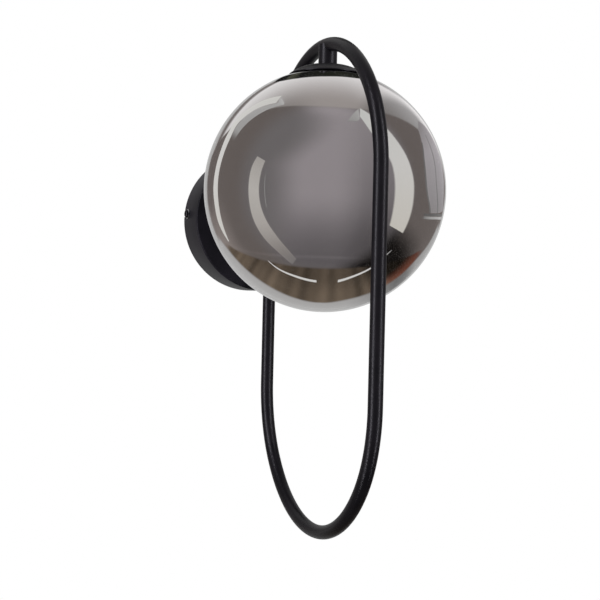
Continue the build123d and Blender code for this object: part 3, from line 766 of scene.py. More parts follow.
@dataclass
class OvalTube:
    """Round tube bent to an upright oval in the plane X = 0."""

    radius: float = 5.75 * MM
    half_depth: float = 121.5 * MM
    end_height: float = 114.5 * MM
    side_bend: float = 108.0 * MM
    half_straight: float = 88.0 * MM
    middle_out: float = 183.5 * MM
    middle_up: float = -64.5 * MM
    side_steps: int = 18
    crown_steps: int = 44
    leg_steps: int = 24
    sides: int = 56

    def centreline(self) -> np.ndarray:
        """Centreline as (across, up) points: straight legs and three-centred arcs.

        The top arc's radius follows from its meeting the side arcs at a common tangent:
        (a squared + b squared - r squared) / (2 (b - r)), where a is how far the side arcs'
        middles lie from the oval's middle, b the end's height and r the side arcs' radius.

        Returns:
            Array of points round the oval.
        """
        inset = self.half_depth - self.side_bend
        top = (inset**2 + self.end_height**2 - self.side_bend**2) / (
            2 * (self.end_height - self.side_bend)
        )
        joint = degrees(atan2(top - self.end_height, inset))
        top_middle = self.half_straight + self.end_height - top
        bend, steps = self.side_bend, self.side_steps
        right = arc_points((inset, self.half_straight), bend, 0, joint, steps)
        crown = arc_points((0, top_middle), top, joint, 180 - joint, self.crown_steps)
        left = arc_points((-inset, self.half_straight), bend, 180 - joint, 180, steps)
        upper = np.concatenate((right, crown[1:], left[1:]))
        leg = np.linspace(self.half_straight, -self.half_straight, self.leg_steps)[1:-1]
        rear = np.column_stack((np.full(len(leg), -self.half_depth), leg))
        half = np.concatenate((upper, rear))
        return np.concatenate((half, -half))

    def build(self, shop: Workshop) -> None:
        """Carries a circle along the centreline, square to it at every point.

        Args:
            shop: Gives the finishes.
        """
        line = self.centreline()
        ahead = np.roll(line, -1, axis=0) - np.roll(line, 1, axis=0)
        ahead /= np.linalg.norm(ahead, axis=1)[:, None]
        outward = np.column_stack((ahead[:, 1], -ahead[:, 0]))
        turn = np.linspace(0, 2 * pi, self.sides, endpoint=False)
        grid = np.empty((len(line), self.sides, 3))
        grid[:, :, 0] = self.radius * np.sin(turn)[None, :]
        for axis, base in ((0, -self.middle_out), (1, self.middle_up)):
            spread = self.radius * outward[:, axis][:, None] * np.cos(turn)[None, :]
            grid[:, :, axis + 1] = base + line[:, axis][:, None] + spread
        piece = surface_piece("oval_tube", grid, wrap_rows=True, wrap_columns=True)
        # The photographed glass shows no likeness of the tube, so mirror rays pass it by.
        piece.visible_glossy = False
        shop.place(piece, "lamp", "oval_frame", "black_powder_coat", POWDER_COAT)
        shop.dress_nodes({"arm_boss": POWDER_COAT, "stem": POWDER_COAT})


@dataclass
class Cap:
    """Shallow domed cap over the globe's mouth, on the stem."""

    radius: float = 32.0 * MM
    crown_radius: float = 8.5 * MM
    hole_radius: float = 5.05 * MM
    top_up: float = 120.02 * MM
    rise: float = 8.1 * MM
    lip: float = 0.7 * MM
    sheet: float = 1.2 * MM
    edge_round: float = 0.35 * MM
    edge_steps: int = 4
    dome_steps: int = 24
    sides: int = 160

    def build(self, shop: Workshop) -> None:
        """Builds the dome as a closed sheet turned about the globe's axis.

        The bend's radius is (chord squared + rise squared) / (2 rise) over the chord from crown to
        rim, so the dome leaves the crown level.

        Args:
            shop: Gives the finishes.
        """
        chord = self.radius - self.crown_radius
        bend = (chord**2 + self.rise**2) / (2 * self.rise)
        middle = (self.crown_radius, self.top_up - bend)
        rim_up = self.top_up - self.rise
        inner_chord = chord - self.sheet
        inner_rim_up = middle[1] + sqrt((bend - self.sheet) ** 2 - inner_chord**2)
        rim_turn = degrees(atan2(rim_up - middle[1], chord))
        inner_turn = degrees(atan2(inner_rim_up - middle[1], inner_chord))
        outer = arc_points(middle, bend, 90, rim_turn, self.dome_steps)
        inner = arc_points(middle, bend - self.sheet, inner_turn, 90, self.dome_steps)
        lip_up = rim_up - self.lip
        lip = np.array([(self.radius, lip_up), (self.radius - self.sheet, lip_up)])
        edge = rounded_corner(*outer[-2:], lip[0], self.edge_round, self.edge_steps)
        hole = np.array([(self.hole_radius, self.top_up - lower) for lower in (0, self.sheet)])
        profile = np.concatenate((hole[:1], outer[:-1], edge, lip, inner, hole[1:]))
        piece = surface_piece("cap_dome", turned(profile, self.sides), True, True)
        shop.place(piece, "lamp", "cap", "black_powder_coat", POWDER_COAT)


@dataclass
class GlassGlobe:
    """Blown glass ball whose mouth turns in as a short neck."""

    radius: float = 100.0 * MM
    wall: float = 4.0 * MM
    mouth_radius: float = 25.35 * MM
    mouth_wall: float = 3.6 * MM
    mouth_depth: float = 9.0 * MM
    mouth_round: float = 1.6 * MM
    end_round: float = 1.2 * MM
    outer_steps: int = 96
    inner_steps: int = 90
    sides: int = 216

    def profile(self) -> np.ndarray:
        """Profile from the outer pole at the bottom, round the mouth, to the inner pole.

        Returns:
            Array of (reach, height) points.
        """
        inner = self.radius - self.wall
        neck = self.mouth_radius + self.mouth_wall
        top = sqrt(self.radius**2 - self.mouth_radius**2)
        joint = sqrt(inner**2 - neck**2)
        outer_turn = degrees(atan2(top, self.mouth_radius))
        inner_turn = degrees(atan2(joint, neck))
        outside = arc_points((0, 0), self.radius, -90, outer_turn, self.outer_steps)
        inside = arc_points((0, 0), inner, inner_turn, -90, self.inner_steps)
        bottom = top - self.mouth_depth
        end = np.array([(self.mouth_radius, bottom), (neck, bottom)])
        corners = [*outside[-2:], *end, *inside[:2]]
        rounds = [self.mouth_round, self.end_round, self.end_round, self.mouth_round]
        bends = [
            rounded_corner(corners[i], corners[i + 1], corners[i + 2], rounds[i]) for i in range(4)
        ]
        profile = np.concatenate((outside[:-1], *bends, inside[1:]))
        profile[[0, -1], 0] = 0.0
        profile[:, 1] += GLOBE_MIDDLE_UP
        return profile

    def build(self, shop: Workshop) -> None:
        """Turns the profile about the globe's axis."""
        grid = turned(self.profile(), self.sides)
        piece = surface_piece("globe_glass", grid, wrap_rows=False, wrap_columns=True, sharp=60)
        shop.place(piece, "globe", "globe", "smoked_glass", SMOKE_GLASS)
        shop.dress_nodes({"neck_seal": SILICONE})


@dataclass
class InsideFittings(KeptPieces):
    """Everything inside the canopy and under the cap that keeps its own shape."""

    finishes: dict[str, Finish] = field(
        default_factory=lambda: {
            "arm_nipple": ZINC,
            "arm_bush": BLACK_NYLON,
            "canopy_strap": ZINC,
            "arm_lock_washer": ZINC,
            "arm_nut": ZINC,
            "terminal_block": WHITE_NYLON,
            "terminal_sleeves": BRASS,
            "terminal_screws": ZINC,
            "terminal_fixing_screw": ZINC,
            "earth_lug": TIN,
            "earth_screw": BRASS,
            "stem_nipple": ZINC,
            "cap_lock_washer": ZINC,
            "cap_nut": ZINC,
            "neck_collar": POWDER_COAT,
            "holder_nut": ZINC,
            "holder_strap": ZINC,
            "holder_screws": ZINC,
            "lampholder": STEATITE,
            "socket_contacts": TIN,
            "inner_lead": SHEATH,
            "live_wires": BROWN_WIRE,
            "neutral_wires": BLUE_WIRE,
            "earth_wire": EARTH_WIRE,
        }
    )


@dataclass
class PlugInLamp(KeptPieces):
    """Two-pin lamp: looped pins, base, lit board and clear cover."""

    finishes: dict[str, Finish] = field(
        default_factory=lambda: {
            "lamp_pins": TIN,
            "lamp_base": WHITE_NYLON,
            "lamp_cover": CLEAR_COVER,
            "led_board": SOLDER_MASK,
            "led_chips": PHOSPHOR,
        }
    )


# ---------------------------------------------------------------------------------------------
# Camera, floor and light
# ---------------------------------------------------------------------------------------------


@dataclass(frozen=True)
class ViewFrame:
    """The photograph's camera, and the room directions that go with it."""

    azimuth: float = -20.91
    elevation: float = 0.15
    roll: float = 1.35
    distance: float = 0.96042
    across: float = -0.01424
    above: float = -0.07465
    target: tuple[float, float, float] = (0.0, -0.1835, 0.0)
    lens: float = 68.69
    sensor: float = 36.0

    def axes(self) -> tuple[np.ndarray, np.ndarray, np.ndarray]:
        """Unit vectors towards the camera, to its right and up, before the roll.

        Returns:
            Back, right and up.
        """
        turn, rise = radians(self.azimuth), radians(self.elevation)
        back = np.array([sin(turn) * cos(rise), -cos(turn) * cos(rise), sin(rise)])
        right = np.array([cos(turn), sin(turn), 0.0])
        return back, right, np.cross(back, right)

    def build(self) -> None:
        """Places the camera."""
        back, right, up = self.axes()
        roll = radians(self.roll)
        rolled_right = right * cos(roll) + up * sin(roll)
        rolled_up = up * cos(roll) - right * sin(roll)
        place = (
            np.array(self.target) + right * self.across + up * self.above + back * self.distance
        )
        data = bpy.data.cameras.new("photo_camera")
        data.lens = self.lens
        data.sensor_width = self.sensor
        camera = bpy.data.objects.new("photo_camera", data)
        turn = Matrix([rolled_right, rolled_up, back]).transposed().to_4x4()
        camera.matrix_world = Matrix.Translation(Vector(place)) @ turn
        bpy.context.scene.collection.objects.link(camera)
        bpy.context.scene.camera = camera


Direction = tuple[float, float]
Tint = tuple[float, float, float]


def towards(turn: np.ndarray | float, rise: np.ndarray | float) -> np.ndarray:
    """Unit vectors as parts to the camera, to its right and up.

    They are (cosine of the turn, sine of the turn) times the rise's cosine, and the rise's sine.

    Args:
        turn: Angles to the right of the camera, in degrees.
        rise: Angles above the level, in degrees.

    Returns:
        Array with one more axis, of 3.
    """
    turned_by, raised_by = np.broadcast_arrays(np.radians(turn), np.radians(rise))
    level = np.cos(raised_by)
    return np.stack((level * np.cos(turned_by), level * np.sin(turned_by), np.sin(raised_by)), -1)


def eased(value: np.ndarray, low: float, high: float) -> np.ndarray:
    """Smooth step: 3 t squared less 2 t cubed, where t goes from 0 at low to 1 at high.

    Args:
        value: Values of any shape.
        low: Value where the step starts.
        high: Value where it ends.

    Returns:
        Array of the same shape, from 0 to 1.
    """
    share = np.clip((value - low) / (high - low), 0.0, 1.0)
    return share * share * (3.0 - 2.0 * share)


def curve_through(points: np.ndarray, steps: int) -> np.ndarray:
    """Smooth line through points, by a cubic from each point to the next.

    Between two points p1 and p2 with neighbours p0 and p3 the place at share t is half of
    2 p1 + (p2 - p0) t + (2 p0 - 5 p1 + 4 p2 - p3) t squared + (3 p1 - p0 - 3 p2 + p3) t cubed, so
    the slope at a point is half the way between its neighbours.

    Args:
        points: Array of points.
        steps: Number of places wanted.

    Returns:
        Array of places, evenly spread over the points.
    """
    before, after = 2 * points[:1] - points[1:2], 2 * points[-1:] - points[-2:-1]
    padded = np.concatenate((before, points, after))
    places = np.linspace(0, len(points) - 1, steps)
    first = np.minimum(places.astype(int), len(points) - 2)
    t = (places - first)[:, None]
    p0, p1, p2, p3 = (padded[first + i] for i in range(4))
    return 0.5 * (
        2 * p1
        + (p2 - p0) * t
        + (2 * p0 - 5 * p1 + 4 * p2 - p3) * t**2
        + (3 * p1 - p0 - 3 * p2 + p3) * t**3
    )


def mirrored_sheet(
    name: str, grid: np.ndarray, marks: dict[str, np.ndarray], material: bpy.types.Material
) -> None:
    """Makes a stage sheet that only mirror rays see.

    Args:
        name: Name of the sheet.
        grid: Array of rows by columns by 3.
        marks: Numbers or colours of the points, as attributes by name.
        material: Material of the sheet.
    """
    mesh = bpy.data.meshes.new(name)
    mesh.from_pydata(grid.reshape(-1, 3).tolist(), [], grid_faces(*grid.shape[:2]).tolist())
    for mark, values in marks.items():
        kind, part = ("FLOAT", "value") if values.ndim == 2 else ("FLOAT_COLOR", "color")
        mesh.attributes.new(mark, kind, "POINT").data.foreach_set(part, values.ravel())
    material.cycles.emission_sampling = "NONE"
    mesh.materials.append(material)
    sheet = bpy.data.objects.new(name, mesh)
    bpy.context.scene.collection.objects.link(sheet)
    sheet.visible_camera = False
    sheet.visible_diffuse = False
    sheet.visible_transmission = False
    sheet.visible_shadow = False


@dataclass(frozen=True)
class Card:
    """Softbox, board or window of the studio, seen only in reflections.

    Its two long edges are lists of directions from the globe's middle, as turns to the right of
    the camera and rises, in degrees. Each point lies at one distance along its direction, and the
    tones run along the edges.
    """

    name: str
    first_edge: tuple[Direction, ...]
    second_edge: tuple[Direction, ...]
    tones: tuple[tuple[float, Colour], ...]
    strength: float = 1.0
    distance: float = 8.4
    feather: float = 0.0
    end_feather: float = 0.0
    rows: int = 13
    columns: int = 65

    def material(self) -> bpy.types.Material:
        """Makes the card's glow, which thins out towards feathered edges."""
        material, tree = new_material(self.name)
        along = add_node(tree, "ShaderNodeAttribute", {"attribute_name": "along"})
        cover = add_node(tree, "ShaderNodeAttribute", {"attribute_name": "cover"})
        tone = ramp_between(tree, along.outputs["Fac"], self.tones)
        strength = {"Strength": self.strength}
        glow = add_node(tree, "ShaderNodeEmission", strength, {"Color": tone.outputs["Color"]})
        nothing = add_node(tree, "ShaderNodeBsdfTransparent")
        sockets = (cover.outputs["Fac"], nothing.outputs["BSDF"], glow.outputs["Emission"])
        mix = add_node(tree, "ShaderNodeMixShader", links=dict(enumerate(sockets)))
        finish_surface(tree, mix.outputs["Shader"])
        return material

    def build(self, view: ViewFrame) -> None:
        """Makes the card as a ruled sheet between its edges.

        Args:
            view: The camera whose directions the edges are given in.
        """
        across = np.linspace(0, 1, self.rows)[:, None, None]
        first, second = (
            curve_through(towards(*np.array(edge).T), self.columns)[None]
            for edge in (self.first_edge, self.second_edge)
        )
        away = (first * (1 - across) + second * across) @ np.array(view.axes())
        away /= np.linalg.norm(away, axis=-1)[..., None]
        share_across = np.repeat(across[:, :, 0], self.columns, axis=1)
        share_along = np.repeat(np.linspace(0, 1, self.columns)[None], self.rows, axis=0)
        cover = np.ones((self.rows, self.columns))
        for share, soft in ((share_across, self.feather), (share_along, self.end_feather)):
            if soft > 0:
                cover *= eased(share, 0, soft) * eased(1 - share, 0, soft)
        marks = {"along": share_along, "cover": cover}
        mirrored_sheet(self.name, GLOBE_MIDDLE + away * self.distance, marks, self.material())


@dataclass(frozen=True)
class RoomShell:
    """Walls, ceiling and floor of the room in front of the lamp, as a round shell of soft tones.

    The wall behind the camera is lit, and its light stops along a slanting edge on the left. The
    ceiling is pale behind the lamp, the floor is brown boards, and the lower right is in shade.
    Near, right and up are a direction's parts to the camera, to its right and up.
    """

    distance: float = 14.0
    shade: Tint = (0.235, 0.205, 0.195)
    cool_shade: Tint = (0.27, 0.255, 0.262)
    lit_wall: Tint = (0.525, 0.485, 0.515)
    ceiling: Tint = (0.61, 0.565, 0.55)
    ceiling_glow: Tint = (0.56, 0.585, 0.61)
    boards: Tint = (0.20, 0.155, 0.115)
    red_wood: Tint = (0.21, 0.07, 0.045)
    least_height: float = 0.05
    turns: int = 300

    def walls(
        self, near: np.ndarray, right: np.ndarray, up: np.ndarray, dark: np.ndarray
    ) -> np.ndarray:
        """Tones of the walls, up to where the lit part's edge leans over to the right.

        Args:
            near: Parts to the camera.
            right: Parts to its right.
            up: Parts up.
            dark: How far each place is in the dark corner, from 0 to 1.

        Returns:
            Array of red, green and blue.
        """
        edge = -0.6 + 0.48 * eased(up, 0.25, 0.85) - 0.2 * eased(up, 0.9, 1.0)
        width = 0.28 + 0.07 * eased(up, 0.3, 0.9)
        lit = eased((right - edge) / width, -1.0, 1.0) * eased(near, -0.05, 0.3)
        # The light on the wall falls off downwards and to the right.
        level = (1 - 0.6 * eased(-up, 0.05, 1.0)) * (1 + 0.12 * eased(up, 0.85, 1.0))
        level *= 1 - (0.38 - 0.25 * up) * eased(right, 0.1, 0.8)
        cool = eased(near, -0.1, 0.35) * (1 - 0.28 * eased(-up, 0.3, 0.9))
        shade = np.array(self.shade) + (np.array(self.cool_shade) - self.shade) * cool[..., None]
        # Painted light: the shaded wall behind the lamp is paler low down to the left.
        lower_left_light = eased(-near, 0.2, 0.75) * eased(-up, -0.05, 0.35) * eased(-right, 0.0, 0.4)
        shade *= (1 + 0.9 * lower_left_light)[..., None]
        tones = shade + (np.array(self.lit_wall) * level[..., None] - shade) * lit[..., None]
        return tones * (1 - 0.94 * dark)[..., None]

    def roof(self, near: np.ndarray, right: np.ndarray, step: np.ndarray) -> np.ndarray:
        """Tones of the ceiling, which glows behind the lamp and has a thin dark line at the wall.

        Args:
            near: Parts to the camera.
            right: Parts to its right.
            step: How far each place lies on the ceiling's side of that line.

        Returns:
            Array of red, green and blue.
        """
        glow = eased(-near, -0.1, 0.75)
        tones = np.array(self.ceiling) + np.array(self.ceiling_glow) * glow[..., None]
        level = 1 - 0.32 * eased(-right, 0.0, 0.6) * (1 - glow)
        level *= 1 - 0.5 * eased(right, 0.3, 0.52) * eased(near, -0.9, -0.72)
        level *= 1 - 0.25 * np.exp(-((step / 0.02) ** 2))
        return tones * level[..., None]

    def ground(self, near: np.ndarray, right: np.ndarray, across: np.ndarray) -> np.ndarray:
        """Tones of the floor: a sum of sines across the boards, and red wood on the right.

        Args:
            near: Parts to the camera.
            right: Parts to its right.
            across: Places across the boards, over the height.

        Returns:
            Array of red, green and blue.
        """
        grain = 1 + 0.16 * np.sin(9.0 * across + 0.7) + 0.15 * np.sin(23.0 * across + 2.0)
        grain += 0.12 * np.sin(41.0 * across + 0.4)
        grain *= 0.72 + 0.34 * eased(-near, 0.0, 0.5)
        tones = np.array(self.boards) * grain[..., None]
        tones *= (1 - 0.9 * eased(right, 0.36, 0.6))[..., None]
        red = eased(-near, 0.42, 0.7) * eased(right, 0.36, 0.55)
        return tones + np.array(self.red_wood) * red[..., None]

    def tones(self, away: np.ndarray) -> np.ndarray:
        """Light that comes from each direction.

        The ceiling and floor are found on planes above and below: x is the part to the right and
        y the part to the camera, both over the height. Each meets the wall on y = a - b x squared.

        Args:
            away: Array of directions, as parts to the camera, to its right and up.

        Returns:
            Array of red, green and blue.
        """
        near, right, up = away[..., 0], away[..., 1], away[..., 2]
        corner = right + 0.15 * eased(-up, 0.75, 0.95)
        dark = eased(corner, 0.2, 0.6) * eased(-up, 0.25, 0.62) * eased(-near, -0.35, -0.05)
        tones = self.walls(near, right, up, dark)
        over = np.maximum(up, self.least_height)
        step = 0.23 - 0.82 * (right / over - 0.05) ** 2 - near / over
        above = eased(step, -0.02, 0.04) * eased(up, 0.1, 0.3)
        tones += (self.roof(near, right, step) - tones) * above[..., None]
        under = np.maximum(-up, self.least_height)
        across = right / under
        # A pale skirting runs along the foot of the wall.
        rise = 0.42 - 0.55 * across**2 - near / under
        skirting = np.exp(-(((rise - 0.01) / 0.03) ** 2)) * eased(-up, 0.3, 0.5) * (1 - dark)
        tones *= (1 + 0.22 * skirting)[..., None]
        meet = 0.19 - 0.52 * across**2 - near / under
        below = eased(meet, -0.01, 0.05) * eased(-up, 0.25, 0.4)
        return tones + (self.ground(near, right, across) - tones) * below[..., None]

    def build(self, view: ViewFrame) -> None:
        """Makes the shell and gives each of its points its tone.

        Args:
            view: The camera whose directions the tones are given in.
        """
        turn = np.linspace(0, 360, self.turns + 1)[None, :]
        rise = np.linspace(-90, 90, self.turns // 2 + 1)[:, None]
        away = towards(turn, rise)
        tones = np.concatenate((self.tones(away), np.ones((*away.shape[:2], 1))), axis=-1)
        material, tree = new_material("room_tones")
        tone = add_node(tree, "ShaderNodeAttribute", {"attribute_name": "tone"})
        glow = add_node(tree, "ShaderNodeEmission", links={"Color": tone.outputs["Color"]})
        finish_surface(tree, glow.outputs["Emission"])
        places = GLOBE_MIDDLE + away @ np.array(view.axes()) * self.distance
        mirrored_sheet("room_shell", places, {"tone": tones}, material)


@dataclass(frozen=True)
class SoftLamp:
    """Area lamp that mirrors don't show, or one that only the black coat answers to.

    Its turn is counted to the right of the camera and its rise above the level, in degrees.
    """

    name: str
    turn: float
    rise: float
    size: tuple[float, float]
    power: float
    colour: Tint = (1.0, 1.0, 1.0)
    distance: float = 1.9
    coat_only: bool = False

    def build(self, view: ViewFrame, coated: bpy.types.Collection) -> None:
        """Hangs the lamp and aims it at the globe.

        Args:
            view: The camera from which the lamp's turn is counted.
            coated: Pieces that the coat's own lamps light.
        """
        away = towards(self.turn, self.rise) @ np.array(view.axes())
        data = bpy.data.lights.new(self.name, "AREA")
        data.shape = "RECTANGLE"
        data.size, data.size_y = self.size
        data.energy = self.power
        data.color = self.colour
        lamp = bpy.data.objects.new(self.name, data)
        aim = Vector(-away).to_track_quat("-Z", "Y").to_matrix().to_4x4()
        lamp.matrix_world = Matrix.Translation(Vector(STAGE_MIDDLE + away * self.distance)) @ aim
        lamp.visible_camera = False
        lamp.visible_transmission = False
        if self.coat_only:
            lamp.light_linking.receiver_collection = coated
        else:
            lamp.visible_glossy = False
        bpy.context.scene.collection.objects.link(lamp)


SOFT_WHITE = linear("#fbfbf9")
STUDIO_CARDS = (
    # Dark sheet seen only in the glass: its reflection paints the dark band just under the cap,
    # standing in for the cap's own dark reflection and shade there, and its olive streaks are painted
    # glints in that band.
    Card(
        "black_flag",
        (
            (-165.8, 31.7), (-163.7, 40.7), (-167.0, 49.2), (180.0, 53.5), (167.8, 48.2),
            (164.5, 40.1), (165.2, 32.1),
        ),
        (
            (-175.6, 19.5), (-175.5, 24.2), (-176.7, 28.8), (180.0, 31.3), (176.7, 28.8),
            (175.5, 24.2), (175.6, 19.5),
        ),
        (
            (0.0, grey(0.012)), (0.16, grey(0.02)), (0.2, linear("#57584c")),
            (0.27, linear("#44453b")), (0.31, grey(0.012)), (0.6, linear("#2e3029")),
            (1.0, grey(0.015)),
        ),
        distance=6.5, feather=0.08,
    ),
    Card(
        "backdrop_hem",
        (
            (163.7, 19.7), (173.0, 24.4), (-177.7, 25.3), (-168.1, 23.8), (-158.7, 20.0),
            (-152.0, 12.4), (-146.4, 2.8), (-146.0, -5.6),
        ),
        (
            (152.9, 30.2), (167.9, 38.1), (-175.7, 40.5), (-159.3, 37.2), (-143.9, 30.5),
            (-134.3, 18.5), (-131.6, 3.7), (-132.2, -7.5),
        ),
        (
            (0.0, linear("#a5a2a4")), (0.25, linear("#96918f")), (0.5, linear("#7f7775")),
            (1.0, linear("#827a78")),
        ),
        distance=11.0, feather=0.45, end_feather=0.12,
    ),
    Card(
        "backdrop_foot",
        (
            (-160.6, -5.5), (-162.4, -9.9), (-165.4, -14.1), (-169.6, -17.3), (-174.6, -19.4),
            (-180.0, -20.2), (174.6, -19.4), (169.6, -17.3), (165.4, -14.1), (162.4, -9.9),
            (160.5, -5.1), (159.9, -1.0),
        ),
        (
            (-143.1, -9.8), (-137.2, -21.4), (-139.1, -33.2), (-147.9, -42.7), (-163.1, -47.3),
            (-180.0, -47.5), (162.5, -48.4), (149.7, -41.2), (142.9, -31.1), (139.3, -20.6),
            (144.0, -9.0), (147.6, -1.6),
        ),
        (
            (0.0, grey(0.66)), (0.2, grey(0.7)), (0.545, grey(0.68)), (0.66, grey(0.42)),
            (0.727, grey(0.26)), (0.77, grey(0.3)), (0.818, grey(0.54)), (1.0, grey(0.6)),
        ),
        distance=12.0, feather=0.14, end_feather=0.04,
    ),
    Card(
        "backdrop",
        (
            (-179.2, 42.2), (-159.2, 32.3), (-149.1, 16.9), (-145.1, 0.0), (-147.5, -18.1),
            (-154.4, -33.7), (-179.2, -45.6),
        ),
        (
            (179.2, 42.2), (163.4, 28.7), (158.1, 15.4), (152.3, 0.0), (152.6, -17.4),
            (156.8, -33.0), (179.2, -45.6),
        ),
        ((0.0, grey(0.62)), (1.0, grey(0.66))),
        distance=13.0, feather=0.07,
    ),
    Card(
        "left_softbox",
        (
            (-129.3, 60.0), (-136.9, 43.9), (-138.7, 33.4), (-134.5, 26.1), (-130.2, 19.3),
            (-129.0, 12.1), (-129.3, 4.0), (-129.1, -3.2), (-130.5, -10.4), (-128.4, -20.6),
        ),
        (
            (-112.8, 58.4), (-125.4, 43.4), (-127.9, 33.3), (-122.4, 26.8), (-119.9, 18.9),
            (-119.4, 11.1), (-119.1, 2.8), (-119.8, -5.5), (-122.1, -13.1), (-126.7, -21.4),
        ),
        ((0.0, linear("#f6f6f3")), (0.5, SOFT_WHITE), (1.0, linear("#f4f3ee"))),
        strength=1.22, feather=0.04,
    ),
    Card(
        "left_softbox_skirt",
        (
            (-129.3, 60.0), (-120.6, 60.0), (-112.1, 58.4), (-125.0, 43.4), (-127.5, 33.4),
            (-122.1, 26.7),
        ),
        (
            (-105.2, 64.5), (-100.1, 63.1), (-103.1, 60.0), (-111.0, 47.0), (-113.9, 36.2),
            (-113.1, 27.0),
        ),
        ((0.0, grey(0.9)), (0.4, grey(0.74)), (1.0, grey(0.6))),
        distance=8.6, end_feather=0.15,
    ),
    Card(
        "right_softbox",
        (
            (77.8, 68.0), (79.2, 59.6), (81.4, 47.0), (84.0, 34.5), (87.3, 21.8), (89.5, 8.7),
            (90.0, -0.8), (90.9, -12.1), (91.7, -26.5),
        ),
        (
            (56.7, 61.7), (54.5, 49.4), (56.7, 40.1), (60.8, 29.3), (64.0, 19.3), (64.7, 7.8),
            (65.2, -3.5), (66.4, -14.9), (68.9, -26.4),
        ),
        ((0.0, linear("#f4f6f4")), (0.5, SOFT_WHITE), (1.0, linear("#f5f2ea"))),
        strength=1.16, feather=0.04,
    ),
    Card(
        "softbox_fold",
        ((77.8, 68.0), (52.8, 66.5), (28.2, 58.2)),
        ((55.9, 61.2), (50.3, 59.4), (44.7, 58.6)),
        ((0.0, grey(0.78)), (0.6, grey(0.64)), (1.0, grey(0.52))),
        distance=8.6, end_feather=0.2,
    ),
    Card(
        "side_strip",
        (
            (-71.2, 23.6), (-74.4, 14.9), (-75.6, 2.2), (-76.4, -10.4), (-77.2, -23.5),
            (-76.2, -38.1), (-72.9, -53.3), (-74.6, -66.7),
        ),
        (
            (-59.7, 20.3), (-61.6, 11.3), (-63.1, -2.3), (-63.1, -14.1), (-61.3, -26.5),
            (-57.5, -40.3), (-54.2, -54.1), (-53.8, -64.3),
        ),
        (
            (0.0, linear("#d8d4d0")), (0.3, linear("#f0ede8")), (0.6, linear("#e2ddd8")),
            (0.85, linear("#b4aeab")), (1.0, linear("#a09c9c")),
        ),
        distance=8.0, feather=0.05,
    ),
    Card(
        "strip_edge",
        ((-57.0, 14.9), (-57.8, 7.4), (-58.1, -2.6), (-58.3, -14.6), (-57.6, -19.8)),
        ((-56.0, 15.0), (-56.9, 7.3), (-57.1, -2.6), (-57.2, -14.7), (-56.5, -19.9)),
        ((0.0, grey(0.42)), (0.5, grey(0.5)), (1.0, grey(0.42))),
        distance=8.0, feather=0.3, end_feather=0.3,
    ),
    Card(
        "left_lamp_hoop",
        ((-98.4, -51.5), (-101.8, -59.4), (-106.2, -71.6), (-144.8, -83.3)),
        ((-99.7, -51.6), (-105.3, -59.4), (-115.1, -71.0), (-157.6, -80.3)),
        ((0.0, grey(1.0)), (1.0, SOFT_WHITE)),
        strength=1.25, distance=7.5, feather=0.1,
    ),
    Card(
        "right_lamp_hoop",
        ((119.5, -78.5), (101.2, -69.0), (96.6, -56.6), (92.6, -44.0), (93.4, -39.3)),
        ((133.8, -76.4), (109.1, -68.5), (100.2, -56.7), (94.2, -44.4), (94.2, -39.6)),
        ((0.0, SOFT_WHITE), (0.6, grey(1.0)), (1.0, grey(0.45))),
        strength=1.25, distance=7.5, feather=0.1,
    ),
    Card(
        "window",
        ((143.6, 28.4), (154.5, 19.5), (155.7, 12.8), (153.4, 7.7), (151.7, 4.5), (155.0, 1.8)),
        ((128.6, 30.7), (119.4, 27.1), (109.3, 19.6), (105.4, 9.0), (108.2, 1.1), (117.8, -6.5)),
        (
            (0.0, (0.42, 0.4, 0.41, 1)), (0.35, (0.62, 0.59, 0.62, 1)), (0.8, (0.52, 0.5, 0.52, 1)),
            (1.0, (0.46, 0.44, 0.45, 1)),
        ),
        distance=12.5, feather=0.05,
    ),
    Card(
        "window_bar",
        ((136.5, 25.2), (131.5, 18.4), (126.0, 8.9), (127.6, 3.0), (133.9, -3.1)),
        ((138.3, 24.5), (134.0, 17.8), (128.3, 8.9), (130.7, 3.2), (138.0, -2.2)),
        ((0.0, grey(0.36)), (1.0, grey(0.34))),
        distance=12.0, feather=0.3,
    ),
    Card(
        "window_frame",
        ((119.4, 27.1), (109.3, 19.6), (105.4, 9.0), (108.2, 1.1), (117.8, -6.5)),
        ((121.8, 26.4), (112.0, 19.3), (108.4, 9.1), (111.2, 1.4), (121.6, -5.7)),
        ((0.0, grey(0.24)), (1.0, grey(0.28))),
        distance=12.0, feather=0.3,
    ),
    Card(
        "window_sill",
        ((106.3, -9.0), (117.1, -6.9), (132.9, -3.4), (158.2, 1.8)),
        ((107.5, -10.2), (118.4, -7.9), (134.5, -4.1), (158.3, 1.4)),
        ((0.0, grey(0.2)), (0.4, grey(0.22)), (1.0, grey(0.3))),
        distance=11.5, feather=0.2, end_feather=0.15,
    ),
    Card(
        "window_ledge",
        ((107.5, -10.2), (118.4, -7.9), (134.5, -4.1), (158.3, 1.4)),
        ((107.2, -12.2), (120.4, -9.1), (137.0, -4.7), (160.2, 1.2)),
        ((0.0, grey(0.3)), (0.4, grey(0.62)), (1.0, grey(0.8))),
        distance=11.5, feather=0.2, end_feather=0.15,
    ),
)
COAT_GLOW = (0.93, 0.90, 1.0)
STUDIO_LAMPS = (
    SoftLamp("key_lamp", -35.0, 32.0, (1.4, 1.4), 16.0, distance=2.4),
    SoftLamp("fill_lamp", 70.0, 12.0, (1.2, 1.2), 9.0, distance=2.4),
    SoftLamp("left_coat_strip", -56.0, 0.0, (0.22, 4.6), 205.0, COAT_GLOW, coat_only=True),
    SoftLamp("right_coat_strip", 57.0, 0.0, (0.22, 4.6), 150.0, COAT_GLOW, coat_only=True),
)


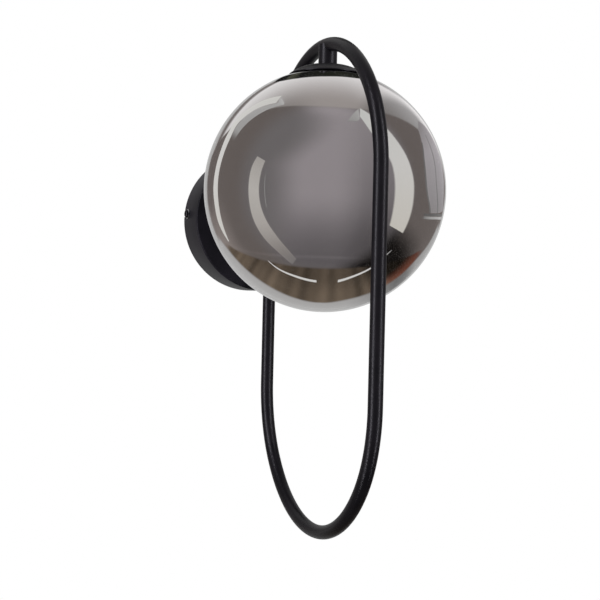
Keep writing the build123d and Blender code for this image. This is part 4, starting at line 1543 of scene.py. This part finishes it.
@dataclass
class Studio:
    """Plain room for the photograph: pale floor, white ground, softboxes and room tones."""

    view: ViewFrame
    coated: tuple[str, ...] = (
        *("canopy_cup", "oval_tube", "cap_dome", "stem"),
        *("arm_boss", "side_screw_left", "side_screw_right"),
    )
    floor_half: float = 2.4
    floor_down: float = -1.25
    floor_colour: str = "#e4e2de"
    ambient: float = 0.7

    def build(self) -> None:
        """Builds the room's shell, the cards, the floor, the lamps and the world."""
        RoomShell().build(self.view)
        for card in STUDIO_CARDS:
            card.build(self.view)
            LOG.info("placed %s", card.name)
        self.build_floor()
        self.build_lamps()
        self.build_world()

    def build_floor(self) -> None:
        """Lays the pale floor, which takes the object's shadow."""
        half, down = self.floor_half, self.floor_down
        mesh = bpy.data.meshes.new("floor")
        signs = ((-1, -1), (1, -1), (1, 1), (-1, 1))
        corners = [(half * x, half * y, down) for x, y in signs]
        mesh.from_pydata(corners, [], [(0, 1, 2, 3)])
        material, tree = new_material("pale_floor")
        board = add_node(tree, "ShaderNodeBsdfDiffuse", {"Color": linear(self.floor_colour)})
        finish_surface(tree, board.outputs["BSDF"])
        mesh.materials.append(material)
        floor = bpy.data.objects.new("floor", mesh)
        floor.visible_glossy = False
        bpy.context.scene.collection.objects.link(floor)

    def build_lamps(self) -> None:
        """Hangs the lamps, some of which light the black coat alone."""
        coated = bpy.data.collections.new("black_coated")
        for name in self.coated:
            coated.objects.link(frame["nodes"].get(name) or bpy.data.objects[name])
        for lamp in STUDIO_LAMPS:
            lamp.build(self.view, coated)

    def build_world(self) -> None:
        """Makes the white ground that camera, mirror and glass rays see, and a soft fill."""
        world = bpy.data.worlds.new("studio")
        bpy.context.scene.world = world
        world.use_nodes = True
        tree = world.node_tree
        tree.nodes.clear()
        ambient, white = (
            add_node(tree, "ShaderNodeBackground", {"Color": grey(1.0), "Strength": strength})
            for strength in (self.ambient, 1.0)
        )
        path = add_node(tree, "ShaderNodeLightPath")
        either = path.outputs["Is Camera Ray"]
        for ray in ("Is Glossy Ray", "Is Transmission Ray"):
            rays = {0: either, 1: path.outputs[ray]}
            either = add_node(tree, "ShaderNodeMath", {"operation": "MAXIMUM"}, rays).outputs[0]
        sockets = (either, ambient.outputs["Background"], white.outputs["Background"])
        seen = add_node(tree, "ShaderNodeMixShader", links=dict(enumerate(sockets)))
        add_node(tree, "ShaderNodeOutputWorld", links={"Surface": seen.outputs["Shader"]})


def main() -> None:
    """Builds the sconce and its studio, in order."""
    shop = Workshop()
    WallBracket().dress(shop)
    Canopy().build(shop)
    SideScrews().dress(shop)
    OvalTube().build(shop)
    Cap().build(shop)
    GlassGlobe().build(shop)
    InsideFittings().dress(shop)
    PlugInLamp().dress(shop)
    view = ViewFrame()
    view.build()
    Studio(view).build()
    bpy.context.scene.view_settings.view_transform = "Standard"


if __name__ == "__main__":
    main()
    bpy.context.view_layer.update()
